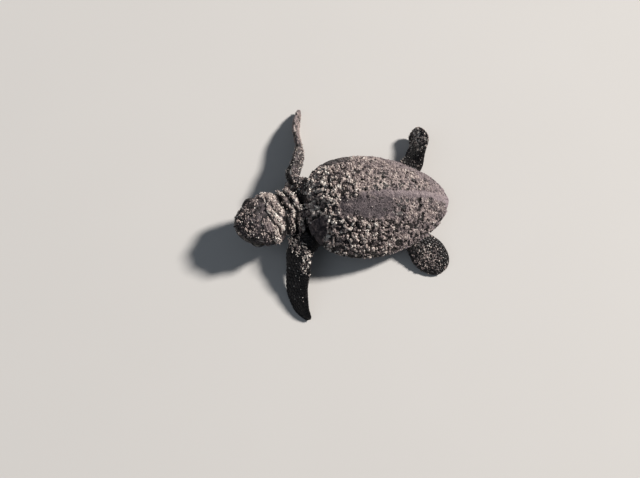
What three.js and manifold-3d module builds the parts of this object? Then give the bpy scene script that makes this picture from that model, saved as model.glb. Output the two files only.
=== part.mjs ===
// A loggerhead turtle hatchling at life size, lying on its plastron with the head raised and the
// flippers spread in mid crawl.  Millimetres, +Z up.  The turtle faces -X, so its right side is +Y
// and its left side is -Y.  The origin lies on the floor, on the belly boss under the mid shell.

import * as THREE from 'three';
import { mergeVertices } from 'three/addons/utils/BufferGeometryUtils.js';
import Module from 'manifold-3d';

const wasm = await Module();
wasm.setup();

// ---------------------------------------------------------------- driving dimensions

const SHELL_LENGTH = 44;
const SHELL_WIDTH = 32.2;
const WIDEST_X = -3.5;
const DOME_HEIGHT = 10.6;
const RIM_HEIGHT = 7;
const RIM_THICKNESS = 1.2;
const GAP = 0.3;

const HEAD_LENGTH = 16.2;
const HEAD_WIDTH = 15.2;
const HEAD_REAR = new THREE.Vector3(-27.9, -1.3, 9.1);
const HEAD_TURN = THREE.MathUtils.degToRad(9);
const HEAD_LIFT = THREE.MathUtils.degToRad(6);
const EYE_RADIUS = 2.3;

const FRONT_FLIPPER_CHORD = 9.6;
const HIND_FLIPPER_CHORD = 10.8;

// ---------------------------------------------------------------- small maths

const mix = (a, b, t) => a + (b - a) * t;
const signedPower = (value, power) => Math.sign(value) * Math.abs(value) ** power;
const bell = (value, width) => Math.exp(-((value / width) ** 2));
const ramp = THREE.MathUtils.smoothstep;

// ---------------------------------------------------------------- closed solids

// Makes a solid of loose points and faces, with its faces turned out.
function solidOfFaces(points, faces) {
  const corners = points.map((point) => new THREE.Vector3(...point));
  let volume = 0;
  for (const [a, b, c] of faces) {
    volume += corners[a].dot(corners[b].clone().cross(corners[c]));
  }
  const outward = volume < 0 ? faces.map(([a, b, c]) => [a, c, b]) : faces;
  const geometry = new THREE.BufferGeometry();
  geometry.setAttribute('position', new THREE.Float32BufferAttribute(points.flat(), 3));
  geometry.setIndex(outward.flat());
  return solidOfGeometry(geometry);
}

// Makes a solid of a closed geometry, with its shared vertices merged.
function solidOfGeometry(source) {
  const bare = source.clone();
  bare.deleteAttribute('normal');
  bare.deleteAttribute('uv');
  const merged = mergeVertices(bare);
  return new wasm.Manifold(new wasm.Mesh({
    numProp: 3,
    vertProperties: new Float32Array(merged.getAttribute('position').array),
    triVerts: new Uint32Array(merged.getIndex().array),
  }));
}

// Stretches a closed skin over a stack of rings and closes both ends with fans.
function skinOverRings(rings) {
  const sides = rings[0].length;
  const points = rings.flat();
  const faces = [];
  for (let ring = 0; ring + 1 < rings.length; ring += 1) {
    for (let side = 0; side < sides; side += 1) {
      const here = ring * sides + side;
      const beside = ring * sides + ((side + 1) % sides);
      faces.push([here, beside, beside + sides]);
      faces.push([here, beside + sides, here + sides]);
    }
  }
  const closeEnd = (first, flip) => {
    const centre = points.length;
    const ring = points.slice(first, first + sides);
    points.push([0, 1, 2].map((axis) => ring.reduce((sum, point) => sum + point[axis], 0) / sides));
    for (let side = 0; side < sides; side += 1) {
      const here = first + side;
      const beside = first + ((side + 1) % sides);
      faces.push(flip ? [centre, beside, here] : [centre, here, beside]);
    }
  };
  closeEnd(0, true);
  closeEnd((rings.length - 1) * sides, false);
  return solidOfFaces(points, faces);
}

// Makes a block between two grids of points that share the lines u and v.
function blockBetween(uLines, vLines, faceAt, rootAt) {
  const across = uLines.length;
  const layer = across * vLines.length;
  const points = [];
  const faces = [];
  for (const pointAt of [faceAt, rootAt]) {
    vLines.forEach((v, row) => uLines.forEach((u, column) => {
      const edge = row === 0 || row === vLines.length - 1 || column === 0 || column === across - 1;
      points.push(pointAt(u, v, edge));
    }));
  }
  for (let row = 0; row + 1 < vLines.length; row += 1) {
    for (let column = 0; column + 1 < across; column += 1) {
      const here = row * across + column;
      faces.push([here, here + 1, here + across + 1]);
      faces.push([here, here + across + 1, here + across]);
      faces.push([layer + here, layer + here + across + 1, layer + here + 1]);
      faces.push([layer + here, layer + here + across, layer + here + across + 1]);
    }
  }
  const border = [];
  for (let column = 0; column + 1 < across; column += 1) {
    border.push(column);
  }
  for (let row = 0; row + 1 < vLines.length; row += 1) {
    border.push(row * across + across - 1);
  }
  for (let column = across - 1; column > 0; column -= 1) {
    border.push(layer - across + column);
  }
  for (let row = vLines.length - 1; row > 0; row -= 1) {
    border.push(row * across);
  }
  border.forEach((here, index) => {
    const next = border[(index + 1) % border.length];
    faces.push([next, here, layer + here]);
    faces.push([next, layer + here, layer + next]);
  });
  return solidOfFaces(points, faces);
}

// Moves a solid by a three.js matrix.
const moved = (body, matrix) => body.transform(matrix.elements);

// Keeps the largest closed surface of a solid.
function largestOf(body) {
  return body.decompose().reduce((best, piece) => (piece.volume() > best.volume() ? piece : best));
}

// ---------------------------------------------------------------- slivers

const SMALLEST_DETAIL = 0.03;
const SHORT_SIDE = 0.02;
const SLIVER_HEIGHT = 0.004;

// The sides of a face, each with the corner opposite, from the shortest to the longest.
function sortedSides(points, [a, b, c]) {
  const sides = [[a, b, c], [b, c, a], [c, a, b]];
  const length = ([from, to]) => points[from].distanceTo(points[to]);
  return sides.sort((one, other) => length(one) - length(other));
}

function faceHeight(points, face) {
  const [a, b, c] = face.map((corner) => points[corner]);
  const [from, to] = sortedSides(points, face)[2];
  const doubleArea = b.clone().sub(a).cross(c.clone().sub(a)).length();
  return doubleArea / points[from].distanceTo(points[to]);
}

// Shrinks the side between two corners onto the second; null where the surface would pinch.
function withSideShrunk(faces, from, to) {
  const beside = (corner) => new Set(faces.filter((face) => face.includes(corner)).flat());
  const shared = [...beside(from)].filter((corner) => beside(to).has(corner));
  if (shared.length !== 4) {
    return null;
  }
  return faces
    .filter((face) => !(face.includes(from) && face.includes(to)))
    .map((face) => face.map((corner) => (corner === from ? to : corner)));
}

// Turns the side between two faces onto their outer corners; null where that side is taken.
function withSideTurned(faces, [from, to, apex]) {
  const across = faces.find((face) => face.includes(from) && face.includes(to) && !face.includes(apex));
  const far = across.find((corner) => corner !== from && corner !== to);
  if (faces.some((face) => face.includes(apex) && face.includes(far))) {
    return null;
  }
  const kept = faces.filter((face) => !(face.includes(from) && face.includes(to)));
  return [...kept, [apex, from, far], [far, to, apex]];
}

// Mends the slivers that cutting and joining leave, and leaves every other face as it is.
function withoutSlivers(points, triangles) {
  let faces = triangles;
  const known = new Set();
  const isNew = (face) => !known.has(face.join()) && faceHeight(points, face) < SLIVER_HEIGHT;
  for (let sliver = faces.find(isNew); sliver; sliver = faces.find(isNew)) {
    known.add(sliver.join());
    const [shortest, , longest] = sortedSides(points, sliver);
    const isShort = points[shortest[0]].distanceTo(points[shortest[1]]) < SHORT_SIDE;
    const mended = isShort ? withSideShrunk(faces, shortest[0], shortest[1]) : withSideTurned(faces, longest);
    faces = mended ?? faces;
  }
  return faces;
}

// ---------------------------------------------------------------- shell surfaces

const HALF_WIDTH = SHELL_WIDTH / 2;
const FRONT = { reach: SHELL_LENGTH / 2 + WIDEST_X, power: 2.5 };
const REAR = { reach: SHELL_LENGTH / 2 - WIDEST_X, power: 1.75 };
const DOME_POWER = 2.4;
const UNDERSIDE_DEPTH = 0.62 * DOME_HEIGHT;
const MARGIN_INNER = 0.82;
const UNDERSIDE_RHO = 0.86;
const SHELL_SECTORS = 36;
const TRUNK_SECTORS = 24;

// The rim lies lowest behind the middle and arches up over the neck.
const rimZ = (x) => RIM_HEIGHT - 0.16 * x + 0.0035 * x * x;

// Plan position at a share rho of the way out to the rim; theta is 0 at the rear and pi in front.
function planPoint(rho, theta) {
  const end = Math.cos(theta) < 0 ? FRONT : REAR;
  return {
    x: WIDEST_X + rho * end.reach * signedPower(Math.cos(theta), 2 / end.power),
    y: rho * HALF_WIDTH * signedPower(Math.sin(theta), 2 / end.power),
  };
}

function planRho(x, y) {
  const end = x < WIDEST_X ? FRONT : REAR;
  const lengthways = (Math.abs(x - WIDEST_X) / end.reach) ** end.power;
  return (lengthways + (Math.abs(y) / HALF_WIDTH) ** end.power) ** (1 / end.power);
}

// The x of the curve of constant rho at a given y, in front of or behind the widest place.
function curveX(rho, y, end) {
  const left = Math.max(rho ** end.power - (Math.abs(y) / HALF_WIDTH) ** end.power, 0);
  return WIDEST_X + (end === FRONT ? -1 : 1) * end.reach * left ** (1 / end.power);
}

const carapaceTop = (x, y) => rimZ(x) + DOME_HEIGHT * (1 - planRho(x, y) ** DOME_POWER);

function carapaceUnder(x, y) {
  const share = Math.min(planRho(x, y) / UNDERSIDE_RHO, 1);
  return rimZ(x) - RIM_THICKNESS + UNDERSIDE_DEPTH * (1 - share ** DOME_POWER);
}

// A ring round the shell at a share rho, with its height given by a function of x and y.
function shellRing(rho, height, sectors = SHELL_SECTORS) {
  const ring = [];
  for (let sector = 0; sector < sectors; sector += 1) {
    const { x, y } = planPoint(rho, (2 * Math.PI * sector) / sectors);
    ring.push([x, y, height(x, y)]);
  }
  return ring;
}

// ---------------------------------------------------------------- carapace

const SEAM = 0.13;
const BEVEL = 0.42;
const EDGE_RAISE = 0.18;
const PLATE_RAISE = 0.42;
const PLATE_TILT = 0.22;
const PLATE_ROOT = 0.8;
const KEEL_HEIGHT = 0.85;
const KEEL_WIDTH = 1.1;
const SIDE_KEEL_HEIGHT = 0.5;
const SIDE_KEEL_SHARE = 0.3;

const shellX = (share) => SHELL_LENGTH * (share - 0.5);
const VERTEBRAL_SEAMS = [0.075, 0.225, 0.41, 0.6, 0.78, 0.895].map(shellX);
const VERTEBRAL_SEAM_HALF = [4.4, 4.2, 4.3, 4.1, 3.8, 5.6];
const VERTEBRAL_CORNER_HALF = [5.6, 6.4, 6.4, 6.0];
const COSTAL_OUTER_X = [0.1, 0.15, 0.335, 0.54, 0.735, 0.835].map(shellX);
const NUCHAL_HALF_ANGLE = 0.24;
const MARGINAL_PAIRS = 12;
const MARGIN_OUTER = 1.025;

// Grid lines over a plate of a given size: its edge, its bevel and the lines between them.
function plateLines(size, inner) {
  const edge = SEAM / size;
  const bevel = (SEAM + BEVEL) / size;
  return [edge, bevel, ...inner, 1 - bevel, 1 - edge];
}

// A horny plate that lies on the dome; place gives its plan and raise its height over the dome.
function domePlate(uLines, vLines, place, raise) {
  const face = (u, v, edge) => {
    const { x, y } = place(u, v);
    return [x, y, carapaceTop(x, y) + (edge ? EDGE_RAISE : raise(u, v, y))];
  };
  const root = (u, v) => {
    const { x, y } = place(u, v);
    return [x, y, carapaceTop(x, y) - PLATE_ROOT];
  };
  return blockBetween(uLines, vLines, face, root);
}

// Vertebral plates run down the midline; the first and last meet the marginals along their curve.
function vertebral(index) {
  const last = VERTEBRAL_SEAMS.length - 2;
  const front = VERTEBRAL_SEAMS[index];
  const rear = VERTEBRAL_SEAMS[index + 1];
  const frontHalf = VERTEBRAL_SEAM_HALF[index];
  const rearHalf = VERTEBRAL_SEAM_HALF[index + 1];
  const bulge = index < last ? VERTEBRAL_CORNER_HALF[index] - (frontHalf + rearHalf) / 2 : 0;
  const half = (u) => mix(frontHalf, rearHalf, u) + bulge * (1 - Math.abs(2 * u - 1));
  const place = (u, v) => {
    const y = (2 * v - 1) * half(u);
    const start = index === 0 ? curveX(MARGIN_INNER, y, FRONT) : front;
    const stop = index === last ? curveX(MARGIN_INNER, y, REAR) : rear;
    return { x: mix(start, stop, u), y };
  };
  const keel = (u, y) => KEEL_HEIGHT * bell(y, KEEL_WIDTH) * mix(0.6, 1, u);
  const raise = (u, v, y) => PLATE_RAISE + PLATE_TILT * u + keel(u, y);
  const crest = KEEL_WIDTH / (2 * half(0.5));
  const foot = 1.7 * crest;
  const vLines = plateLines(2 * half(0.5), [0.5 - foot, 0.5 - crest / 2, 0.5, 0.5 + crest / 2, 0.5 + foot]);
  return domePlate(plateLines(rear - front, [0.5]), vLines, place, raise);
}

// Costal plates fill the flank between the vertebrals' zigzag edge and the marginals.
function costal(index, side) {
  const middle = (seam) => (VERTEBRAL_SEAMS[seam] + VERTEBRAL_SEAMS[seam + 1]) / 2;
  const corner = (seam) => ({ x: middle(seam), y: VERTEBRAL_CORNER_HALF[seam] });
  const seamEnd = (seam) => {
    const y = VERTEBRAL_SEAM_HALF[seam];
    const onCurve = seam === 0 || seam === VERTEBRAL_SEAMS.length - 1;
    return { x: onCurve ? curveX(MARGIN_INNER, y, seam === 0 ? FRONT : REAR) : VERTEBRAL_SEAMS[seam], y };
  };
  const inner = index === 0
    ? [seamEnd(0), null, corner(0)]
    : [corner(index - 1), seamEnd(index), index === 4 ? seamEnd(5) : corner(index)];
  const blend = (a, b, t) => ({ x: mix(a.x, b.x, t), y: mix(a.y, b.y, t) });
  const innerAt = (u) => {
    if (!inner[1]) return blend(inner[0], inner[2], u);
    return u < 0.5 ? blend(inner[0], inner[1], 2 * u) : blend(inner[1], inner[2], 2 * u - 1);
  };
  const outerAt = (u) => {
    const x = mix(COSTAL_OUTER_X[index], COSTAL_OUTER_X[index + 1], u);
    const end = x < WIDEST_X ? FRONT : REAR;
    const left = MARGIN_INNER ** end.power - (Math.abs(x - WIDEST_X) / end.reach) ** end.power;
    return { x, y: HALF_WIDTH * left ** (1 / end.power) };
  };
  const place = (u, v) => {
    const { x, y } = blend(innerAt(u), outerAt(u), v);
    return { x, y: side * y };
  };
  const keel = (u, v) => SIDE_KEEL_HEIGHT * bell(v - SIDE_KEEL_SHARE, 0.11) * mix(0.5, 1, u);
  const raise = (u, v) => PLATE_RAISE + PLATE_TILT * u + (index === 0 ? 0 : keel(u, v));
  const length = COSTAL_OUTER_X[index + 1] - COSTAL_OUTER_X[index];
  const breadth = outerAt(0.5).y - innerAt(0.5).y;
  const across = index === 0 ? [0.5] : [SIDE_KEEL_SHARE - 0.12, SIDE_KEEL_SHARE, SIDE_KEEL_SHARE + 0.14, 0.7];
  return domePlate(plateLines(length, [0.5]), plateLines(breadth, across), place, raise);
}

// A plate of the margin wraps the rim from the dome to the underside; its rear corner sticks out.
function marginPlate(startAngle, stopAngle, inner) {
  const size = HALF_WIDTH * Math.abs(stopAngle - startAngle);
  const uLines = [SEAM / size, ...inner, 1 - SEAM / size];
  const vLines = [0.02, 0.18, 0.82, 1];
  const reach = (u, v) => {
    const tooth = 0.02 * Math.abs(Math.cos(startAngle)) * (u - 0.5);
    return mix(MARGIN_INNER, MARGIN_OUTER + tooth, v);
  };
  const place = (u, v) => planPoint(reach(u, v), mix(startAngle, stopAngle, u));
  const face = (u, v, edge) => {
    const { x, y } = place(u, v);
    const lip = v === 1 ? 0.45 : 0;
    return [x, y, carapaceTop(x, y) + (edge ? EDGE_RAISE : PLATE_RAISE * 0.8) - lip];
  };
  const root = (u, v, edge) => {
    const { x, y } = place(u, v);
    const sunk = carapaceTop(x, y) - PLATE_ROOT;
    const below = carapaceUnder(x, y) - (edge ? 0.08 : 0.2);
    return [x, y, v < 0.5 ? sunk : below];
  };
  return blockBetween(uLines, vLines, face, root);
}

function carapaceBase() {
  const topRings = [0.08, 0.26, 0.44, 0.6, 0.74, 0.87, 1];
  const underRings = [1, UNDERSIDE_RHO, 0.66, 0.42, 0.16];
  return skinOverRings([
    ...topRings.map((rho) => shellRing(rho, carapaceTop)),
    ...underRings.map((rho) => shellRing(rho, carapaceUnder)),
  ]);
}

function carapace() {
  const pieces = [carapaceBase()];
  for (let index = 0; index < 5; index += 1) {
    pieces.push(vertebral(index));
    pieces.push(costal(index, 1));
    pieces.push(costal(index, -1));
  }
  pieces.push(marginPlate(Math.PI - NUCHAL_HALF_ANGLE, Math.PI + NUCHAL_HALF_ANGLE, [0.25, 0.5, 0.75]));
  const step = (Math.PI - NUCHAL_HALF_ANGLE) / MARGINAL_PAIRS;
  for (let pair = 0; pair < MARGINAL_PAIRS; pair += 1) {
    const start = Math.PI - NUCHAL_HALF_ANGLE - pair * step;
    pieces.push(marginPlate(start, start - step, [0.5]));
    pieces.push(marginPlate(-start, -(start - step), [0.5]));
  }
  return wasm.Manifold.union(pieces);
}

// The room that flesh leaves under the shell: the carapace, lower and wider by the gap.
function carapaceRoom() {
  const spread = MARGIN_OUTER + 0.02 + GAP / HALF_WIDTH;
  const rings = [spread, UNDERSIDE_RHO, 0.66, 0.42, 0.16];
  const under = (x, y) => carapaceUnder(x, y) - GAP - 0.16;
  const above = () => RIM_HEIGHT + 2 * DOME_HEIGHT;
  return skinOverRings([shellRing(spread, above), ...rings.map((rho) => shellRing(rho, under))]);
}

// ---------------------------------------------------------------- plastron

const PLASTRON_FRONT = -19;
const PLASTRON_REAR = 15.6;
const PLASTRON_HALF = 13.6;
const LOBE_HALF = 9.6;
const BELLY_Z = 0.35;
const PLASTRON_THICKNESS = 1.9;
const BRIDGE_EDGE = 1.1;
const PLASTRON_SEAMS = [-18.6, -15.6, -11.2, -4.8, 2.4, 8.6, 15.2];
const BELLY_HALF = 8.8;
const BRIDGE_SEAMS = [-7.6, -2.4, 2.6, 7];
const RIDGE_Y = 4.6;
const BOSS_RADIUS = 1.5;

function plastronHalf(x) {
  const middle = (PLASTRON_FRONT + PLASTRON_REAR) / 2;
  const lobe = LOBE_HALF * Math.sqrt(1 - (Math.abs(x - middle) / 18.6) ** 3);
  const bridge = ramp(x, -11, -7.6) * (1 - ramp(x, 6.6, 10));
  return mix(lobe, PLASTRON_HALF, bridge);
}

const lobeRise = (x) => 0.8 * (Math.abs(x + 1.7) / 17.3) ** 4;

// Height of the top of the plastron's edge, which meets the marginals along the bridge.
function bridgeRise(x) {
  const bridge = ramp(x, -11, -7.6) * (1 - ramp(x, 6.6, 10));
  return mix(0.6, rimZ(x) - RIM_THICKNESS - GAP - 0.2 - BELLY_Z - PLASTRON_THICKNESS, bridge);
}

const plastronUp = (x, share) => lobeRise(x) + bridgeRise(x) * ramp(Math.abs(share), 0.55, 1);
const plastronTop = (x, share) => BELLY_Z + PLASTRON_THICKNESS + plastronUp(x, share);

function plastronBottom(x, share) {
  const thin = (PLASTRON_THICKNESS - BRIDGE_EDGE) * ramp(Math.abs(share), 0.8, 1);
  return BELLY_Z + plastronUp(x, share) + thin;
}

// The body of the plastron, grown on every side by a margin.
function plastronBody(margin) {
  const shares = [-1, -0.86, -0.7, -0.52, 0, 0.52, 0.7, 0.86, 1];
  const ringAt = (x, shift) => {
    const half = plastronHalf(x) + margin;
    const below = shares.map((share) => [x + shift, share * half, plastronBottom(x, share) - margin]);
    const above = shares.map((share) => [x + shift, share * half, plastronTop(x, share) + 1.6 * margin]);
    return [...below, ...above.reverse()];
  };
  const stations = [-19, -17.8, -15, -11.3, -9.4, -7.6, -0.5, 6.6, 8.2, 10, 13, 15, 15.6];
  const rings = stations.map((x) => ringAt(x, 0));
  if (margin > 0) {
    rings.unshift(ringAt(PLASTRON_FRONT, -margin));
    rings.push(ringAt(PLASTRON_REAR, margin));
  }
  return skinOverRings(rings);
}

// A plate on the belly, between two seams and two shares of the half width, down to the floor.
function bellyPlate(frontX, rearX, innerY, outerY, side, across) {
  const place = (u, v) => {
    const x = mix(frontX, rearX, u);
    const outer = Math.min(outerY, plastronHalf(x) - SEAM);
    return { x, y: mix(innerY, outer, v) };
  };
  const at = (offset) => (u, v, edge) => {
    const { x, y } = place(u, v);
    const ridge = 0.15 * bell(y - RIDGE_Y, 1);
    const lower = edge ? 0.08 : 0.2 + ridge;
    const z = plastronBottom(x, y / plastronHalf(x)) + (offset ?? -lower);
    return [x, side * y, Math.max(z, 0)];
  };
  const uLines = plateLines(rearX - frontX, []);
  return blockBetween(uLines, plateLines(outerY - innerY, across), at(null), at(PLATE_ROOT));
}

function plastron() {
  const pieces = [plastronBody(0)];
  for (const side of [1, -1]) {
    for (let seam = 0; seam + 1 < PLASTRON_SEAMS.length; seam += 1) {
      const ridge = RIDGE_Y / BELLY_HALF;
      const across = [ridge - 0.13, ridge, ridge + 0.13];
      pieces.push(bellyPlate(PLASTRON_SEAMS[seam], PLASTRON_SEAMS[seam + 1], 0, BELLY_HALF, side, across));
    }
    for (let seam = 0; seam + 1 < BRIDGE_SEAMS.length; seam += 1) {
      pieces.push(bellyPlate(BRIDGE_SEAMS[seam], BRIDGE_SEAMS[seam + 1], BELLY_HALF, PLASTRON_HALF, side, [0.5]));
    }
  }
  const boss = new THREE.CylinderGeometry(BOSS_RADIUS * 0.9, BOSS_RADIUS, 1, 16);
  boss.rotateX(-Math.PI / 2);
  boss.translate(0, 0, 0.5);
  pieces.push(solidOfGeometry(boss));
  return wasm.Manifold.union(pieces).trimByPlane([0, 0, 1], 0);
}

// ---------------------------------------------------------------- lofted flesh

// A tapering body along a smooth path.  shape gives, at a share t of the path, the direction that
// its leading edge points in, how far it reaches to the leading and trailing edge, and how thick it is.
function limb(waypoints, stations, sides, shape) {
  const path = new THREE.CatmullRomCurve3(waypoints.map((point) => new THREE.Vector3(...point)));
  const rings = [];
  for (let station = 0; station <= stations; station += 1) {
    const t = 1 - (1 - station / stations) ** 1.25;
    const centre = path.getPointAt(t);
    const forward = path.getTangentAt(t);
    const { lead, leadReach, trailReach, thickness, thinning } = shape(t);
    const chord = lead.clone().addScaledVector(forward, -lead.dot(forward)).normalize();
    const normal = forward.clone().cross(chord);
    const ring = [];
    for (let side = 0; side < sides; side += 1) {
      const angle = (2 * Math.PI * side) / sides;
      const across = Math.cos(angle) * (Math.cos(angle) > 0 ? leadReach : trailReach);
      const out = 0.5 * thickness * Math.sin(angle) * (1 - thinning * (0.5 - 0.5 * Math.cos(angle)));
      const point = centre.clone().addScaledVector(chord, across).addScaledVector(normal, out);
      ring.push(point.toArray());
    }
    rings.push(ring);
  }
  return { body: skinOverRings(rings), path, shape };
}

// Turns from one direction to another between two shares of a path.
function turning(from, to, start, stop) {
  const a = new THREE.Vector3(...from).normalize();
  const b = new THREE.Vector3(...to).normalize();
  return (t) => a.clone().lerp(b, ramp(t, start, stop)).normalize();
}

// Rounds a paddle off towards its tip.
const tipRound = (t, start, power) => (
  t < start ? 1 : (1 - Math.min((t - start) / (1 - start), 0.985) ** power) ** (1 / 2)
);

function frontFlipperShape(lead, rootChord) {
  return (t) => {
    const chord = mix(rootChord, FRONT_FLIPPER_CHORD, ramp(t, 0.1, 0.55)) * tipRound(t, 0.5, 1.9);
    return {
      lead: lead(t),
      leadReach: 0.46 * chord,
      trailReach: 0.54 * chord,
      thickness: mix(4.6, 1.3, ramp(t, 0, 0.9)) * tipRound(t, 0.8, 2.6),
      thinning: mix(0, 0.45, ramp(t, 0.1, 0.6)),
    };
  };
}

function hindFlipperShape(lead, rootChord) {
  return (t) => {
    const chord = mix(rootChord, HIND_FLIPPER_CHORD, ramp(t, 0.15, 0.7)) * tipRound(t, 0.62, 2.4);
    return {
      lead: lead(t),
      leadReach: 0.5 * chord,
      trailReach: 0.5 * chord,
      thickness: mix(4.4, 1.4, ramp(t, 0, 0.9)) * tipRound(t, 0.85, 2.6),
      thinning: mix(0, 0.4, ramp(t, 0.2, 0.7)),
    };
  };
}

// A claw on the leading edge of a flipper, its root sunk in the flesh.
function claw(flipper, t, length, radius) {
  const centre = flipper.path.getPointAt(t);
  const forward = flipper.path.getTangentAt(t);
  const { lead, leadReach } = flipper.shape(t);
  const chord = lead.clone().addScaledVector(forward, -lead.dot(forward)).normalize();
  const direction = chord.clone().addScaledVector(forward, 0.8).normalize();
  const cone = new THREE.ConeGeometry(radius, length, 7);
  cone.translate(0, length / 2 - 0.45 * length, 0);
  const turn = new THREE.Quaternion().setFromUnitVectors(new THREE.Vector3(0, 1, 0), direction);
  const spot = centre.addScaledVector(chord, leadReach);
  return moved(solidOfGeometry(cone), new THREE.Matrix4().compose(spot, turn, new THREE.Vector3(1, 1, 1)));
}

// Parts a limb across its path at the share t, leaving half the gap on either side of the cut.
function partedAt(limbBody, path, t) {
  const normal = path.getTangentAt(t);
  const level = normal.dot(path.getPointAt(t));
  return {
    outer: limbBody.trimByPlane(normal.toArray(), level + GAP / 2),
    stub: limbBody.trimByPlane(normal.clone().negate().toArray(), -(level - GAP / 2)),
  };
}

const LIMBS = {
  front_flipper_right: {
    waypoints: [[-13, 5.5, 6.4], [-20.8, 8.3, 7.2], [-25.0, 11.2, 7.2], [-23.7, 14.8, 6.5],
      [-21.8, 20.9, 5.0], [-22.4, 28.2, 3.2], [-20.6, 36.6, 1.1]],
    lead: turning([-0.7, -0.3, 0.75], [-0.15, 0.1, 1], 0.1, 0.45),
    shape: frontFlipperShape,
    rootChord: 7.4,
    cut: 0.27,
    claws: [[0.52, 1.7, 0.5], [0.68, 1.1, 0.36]],
  },
  front_flipper_left: {
    waypoints: [[-13, -5.5, 6.4], [-20.8, -8.8, 7.6], [-25.2, -12.4, 7.6], [-26.1, -17.6, 5.4],
      [-27.1, -23, 3.4], [-26.2, -29, 1.7], [-24.1, -32.6, 0.7]],
    lead: turning([-0.75, 0.55, 0.45], [-0.72, 0.18, -0.66], 0.2, 0.5),
    shape: frontFlipperShape,
    rootChord: 5.6,
    cut: 0.27,
    claws: [[0.56, 1.7, 0.5], [0.72, 1.1, 0.36]],
  },
  hind_flipper_right: {
    waypoints: [[8, 6, 4], [11.7, 11.4, 4.3], [14.6, 16.6, 4.3], [15.9, 20.6, 3.6], [14.6, 24.8, 2.4]],
    lead: turning([-1, 0.2, 0.2], [-0.5, 0.1, -0.85], 0.2, 0.6),
    shape: hindFlipperShape,
    rootChord: 5.4,
    cut: 0.37,
    claws: [[0.62, 1.3, 0.42], [0.78, 0.9, 0.32]],
  },
  hind_flipper_left: {
    waypoints: [[6, -4, 4], [10, -10, 3.8], [13, -14.2, 2.7], [16, -18.2, 1.7], [18.2, -22, 0.8]],
    lead: turning([-1, -0.3, 0.2], [-0.92, -0.36, -0.1], 0.2, 0.6),
    shape: hindFlipperShape,
    rootChord: 5.4,
    cut: 0.38,
    claws: [[0.62, 1.3, 0.42], [0.78, 0.9, 0.32]],
  },
};

// ---------------------------------------------------------------- neck and tail

const NECK_WAYPOINTS = [[-13, 0, 6], [-20, 0.3, 6.7], [-24.2, 0.6, 8.1], [-27.6, -0.1, 9.1], [-31, -1.6, 9.6]];
const NECK_WIDTH = 14.2;
const NECK_HEIGHT = 9;
const NECK_CUT_X = -22;
const FOLD_CENTRES = [0.55, 0.71];
const FOLD_SWELL = 0.07;

// The neck with its collar folds, grown on every side by a margin.
function neckBody(margin) {
  const lead = new THREE.Vector3(0, 1, 0);
  return limb(NECK_WAYPOINTS, 14, 18, (t) => {
    const fold = FOLD_CENTRES.reduce((sum, centre) => sum + bell(t - centre, 0.055), 0);
    const swell = mix(0.86, 1, ramp(t, 0.2, 0.55)) * (0.95 + FOLD_SWELL * fold);
    return {
      lead,
      leadReach: 0.5 * NECK_WIDTH * swell + margin,
      trailReach: 0.5 * NECK_WIDTH * swell + margin,
      thickness: NECK_HEIGHT * swell + 2 * margin,
      thinning: 0,
    };
  }).body;
}

const TAIL_WAYPOINTS = [[10, 0, 3.6], [14.6, 0, 3], [19, 0.2, 2.1], [23.2, 0.5, 1.5]];
const TAIL_CUT = 0.58;

function tail() {
  const lead = new THREE.Vector3(0, 1, 0);
  return limb(TAIL_WAYPOINTS, 8, 10, (t) => {
    const girth = mix(5.2, 0.9, t ** 0.8);
    return { lead, leadReach: girth / 2, trailReach: girth / 2, thickness: 0.74 * girth, thinning: 0 };
  });
}

// ---------------------------------------------------------------- head

const HEAD_WIDEST = 0.36;
const HEAD_TOP = 5.6;
const HEAD_BOTTOM = 4.9;
const HEAD_SIDES = 24;
const HEAD_STATIONS = 13;
const EYE_SHARE = 0.63;
const EYE_LIFT = 1.1;
const EYE_SUNK = 1.5;
const LID_TUBE = 0.5;
const MOUTH_FRONT = -1.5;
const MOUTH_CORNER = 0.56;
const SHIELD_RAISE = 0.24;
const SHIELD_SEAM = 0.12;
const SHIELD_BEVEL = 0.3;

// A reach that is widest at a share of the head and closes round the snout.
function headReach(t, full, behind, snout) {
  if (t < HEAD_WIDEST) {
    return full * (1 - behind * ((HEAD_WIDEST - t) / HEAD_WIDEST) ** 2);
  }
  return full * (1 - ((t - HEAD_WIDEST) / (1 - HEAD_WIDEST)) ** snout) ** 0.56;
}

const headHalfWidth = (t) => headReach(t, HEAD_WIDTH / 2, 0.34, 2.1);
const headTop = (t) => headReach(t, HEAD_TOP, 0.18, 2.3);
const headBottom = (t) => headReach(t, HEAD_BOTTOM, 0.16, 2.9);

// A point of the head in its own frame, x to the snout; the angle is 0 at the crown and grows to the left.
function headPoint(t, angle, out) {
  const side = Math.sin(angle);
  const up = Math.cos(angle);
  const height = up > 0 ? headTop(t) : headBottom(t);
  const squareness = 0.86;
  return [
    HEAD_LENGTH * t + out * Math.max(t - 0.75, 0) * 2,
    signedPower(side, squareness) * (headHalfWidth(t) + out),
    signedPower(up, squareness) * (height + out),
  ];
}

function headBase() {
  const rings = [];
  for (let station = 0; station <= HEAD_STATIONS; station += 1) {
    const share = station / HEAD_STATIONS;
    const t = 0.994 * (1 - (1 - share) ** 1.5);
    const ring = [];
    for (let side = 0; side < HEAD_SIDES; side += 1) {
      ring.push(headPoint(t, (2 * Math.PI * side) / HEAD_SIDES, 0));
    }
    rings.push(ring);
  }
  return skinOverRings(rings);
}

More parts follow.
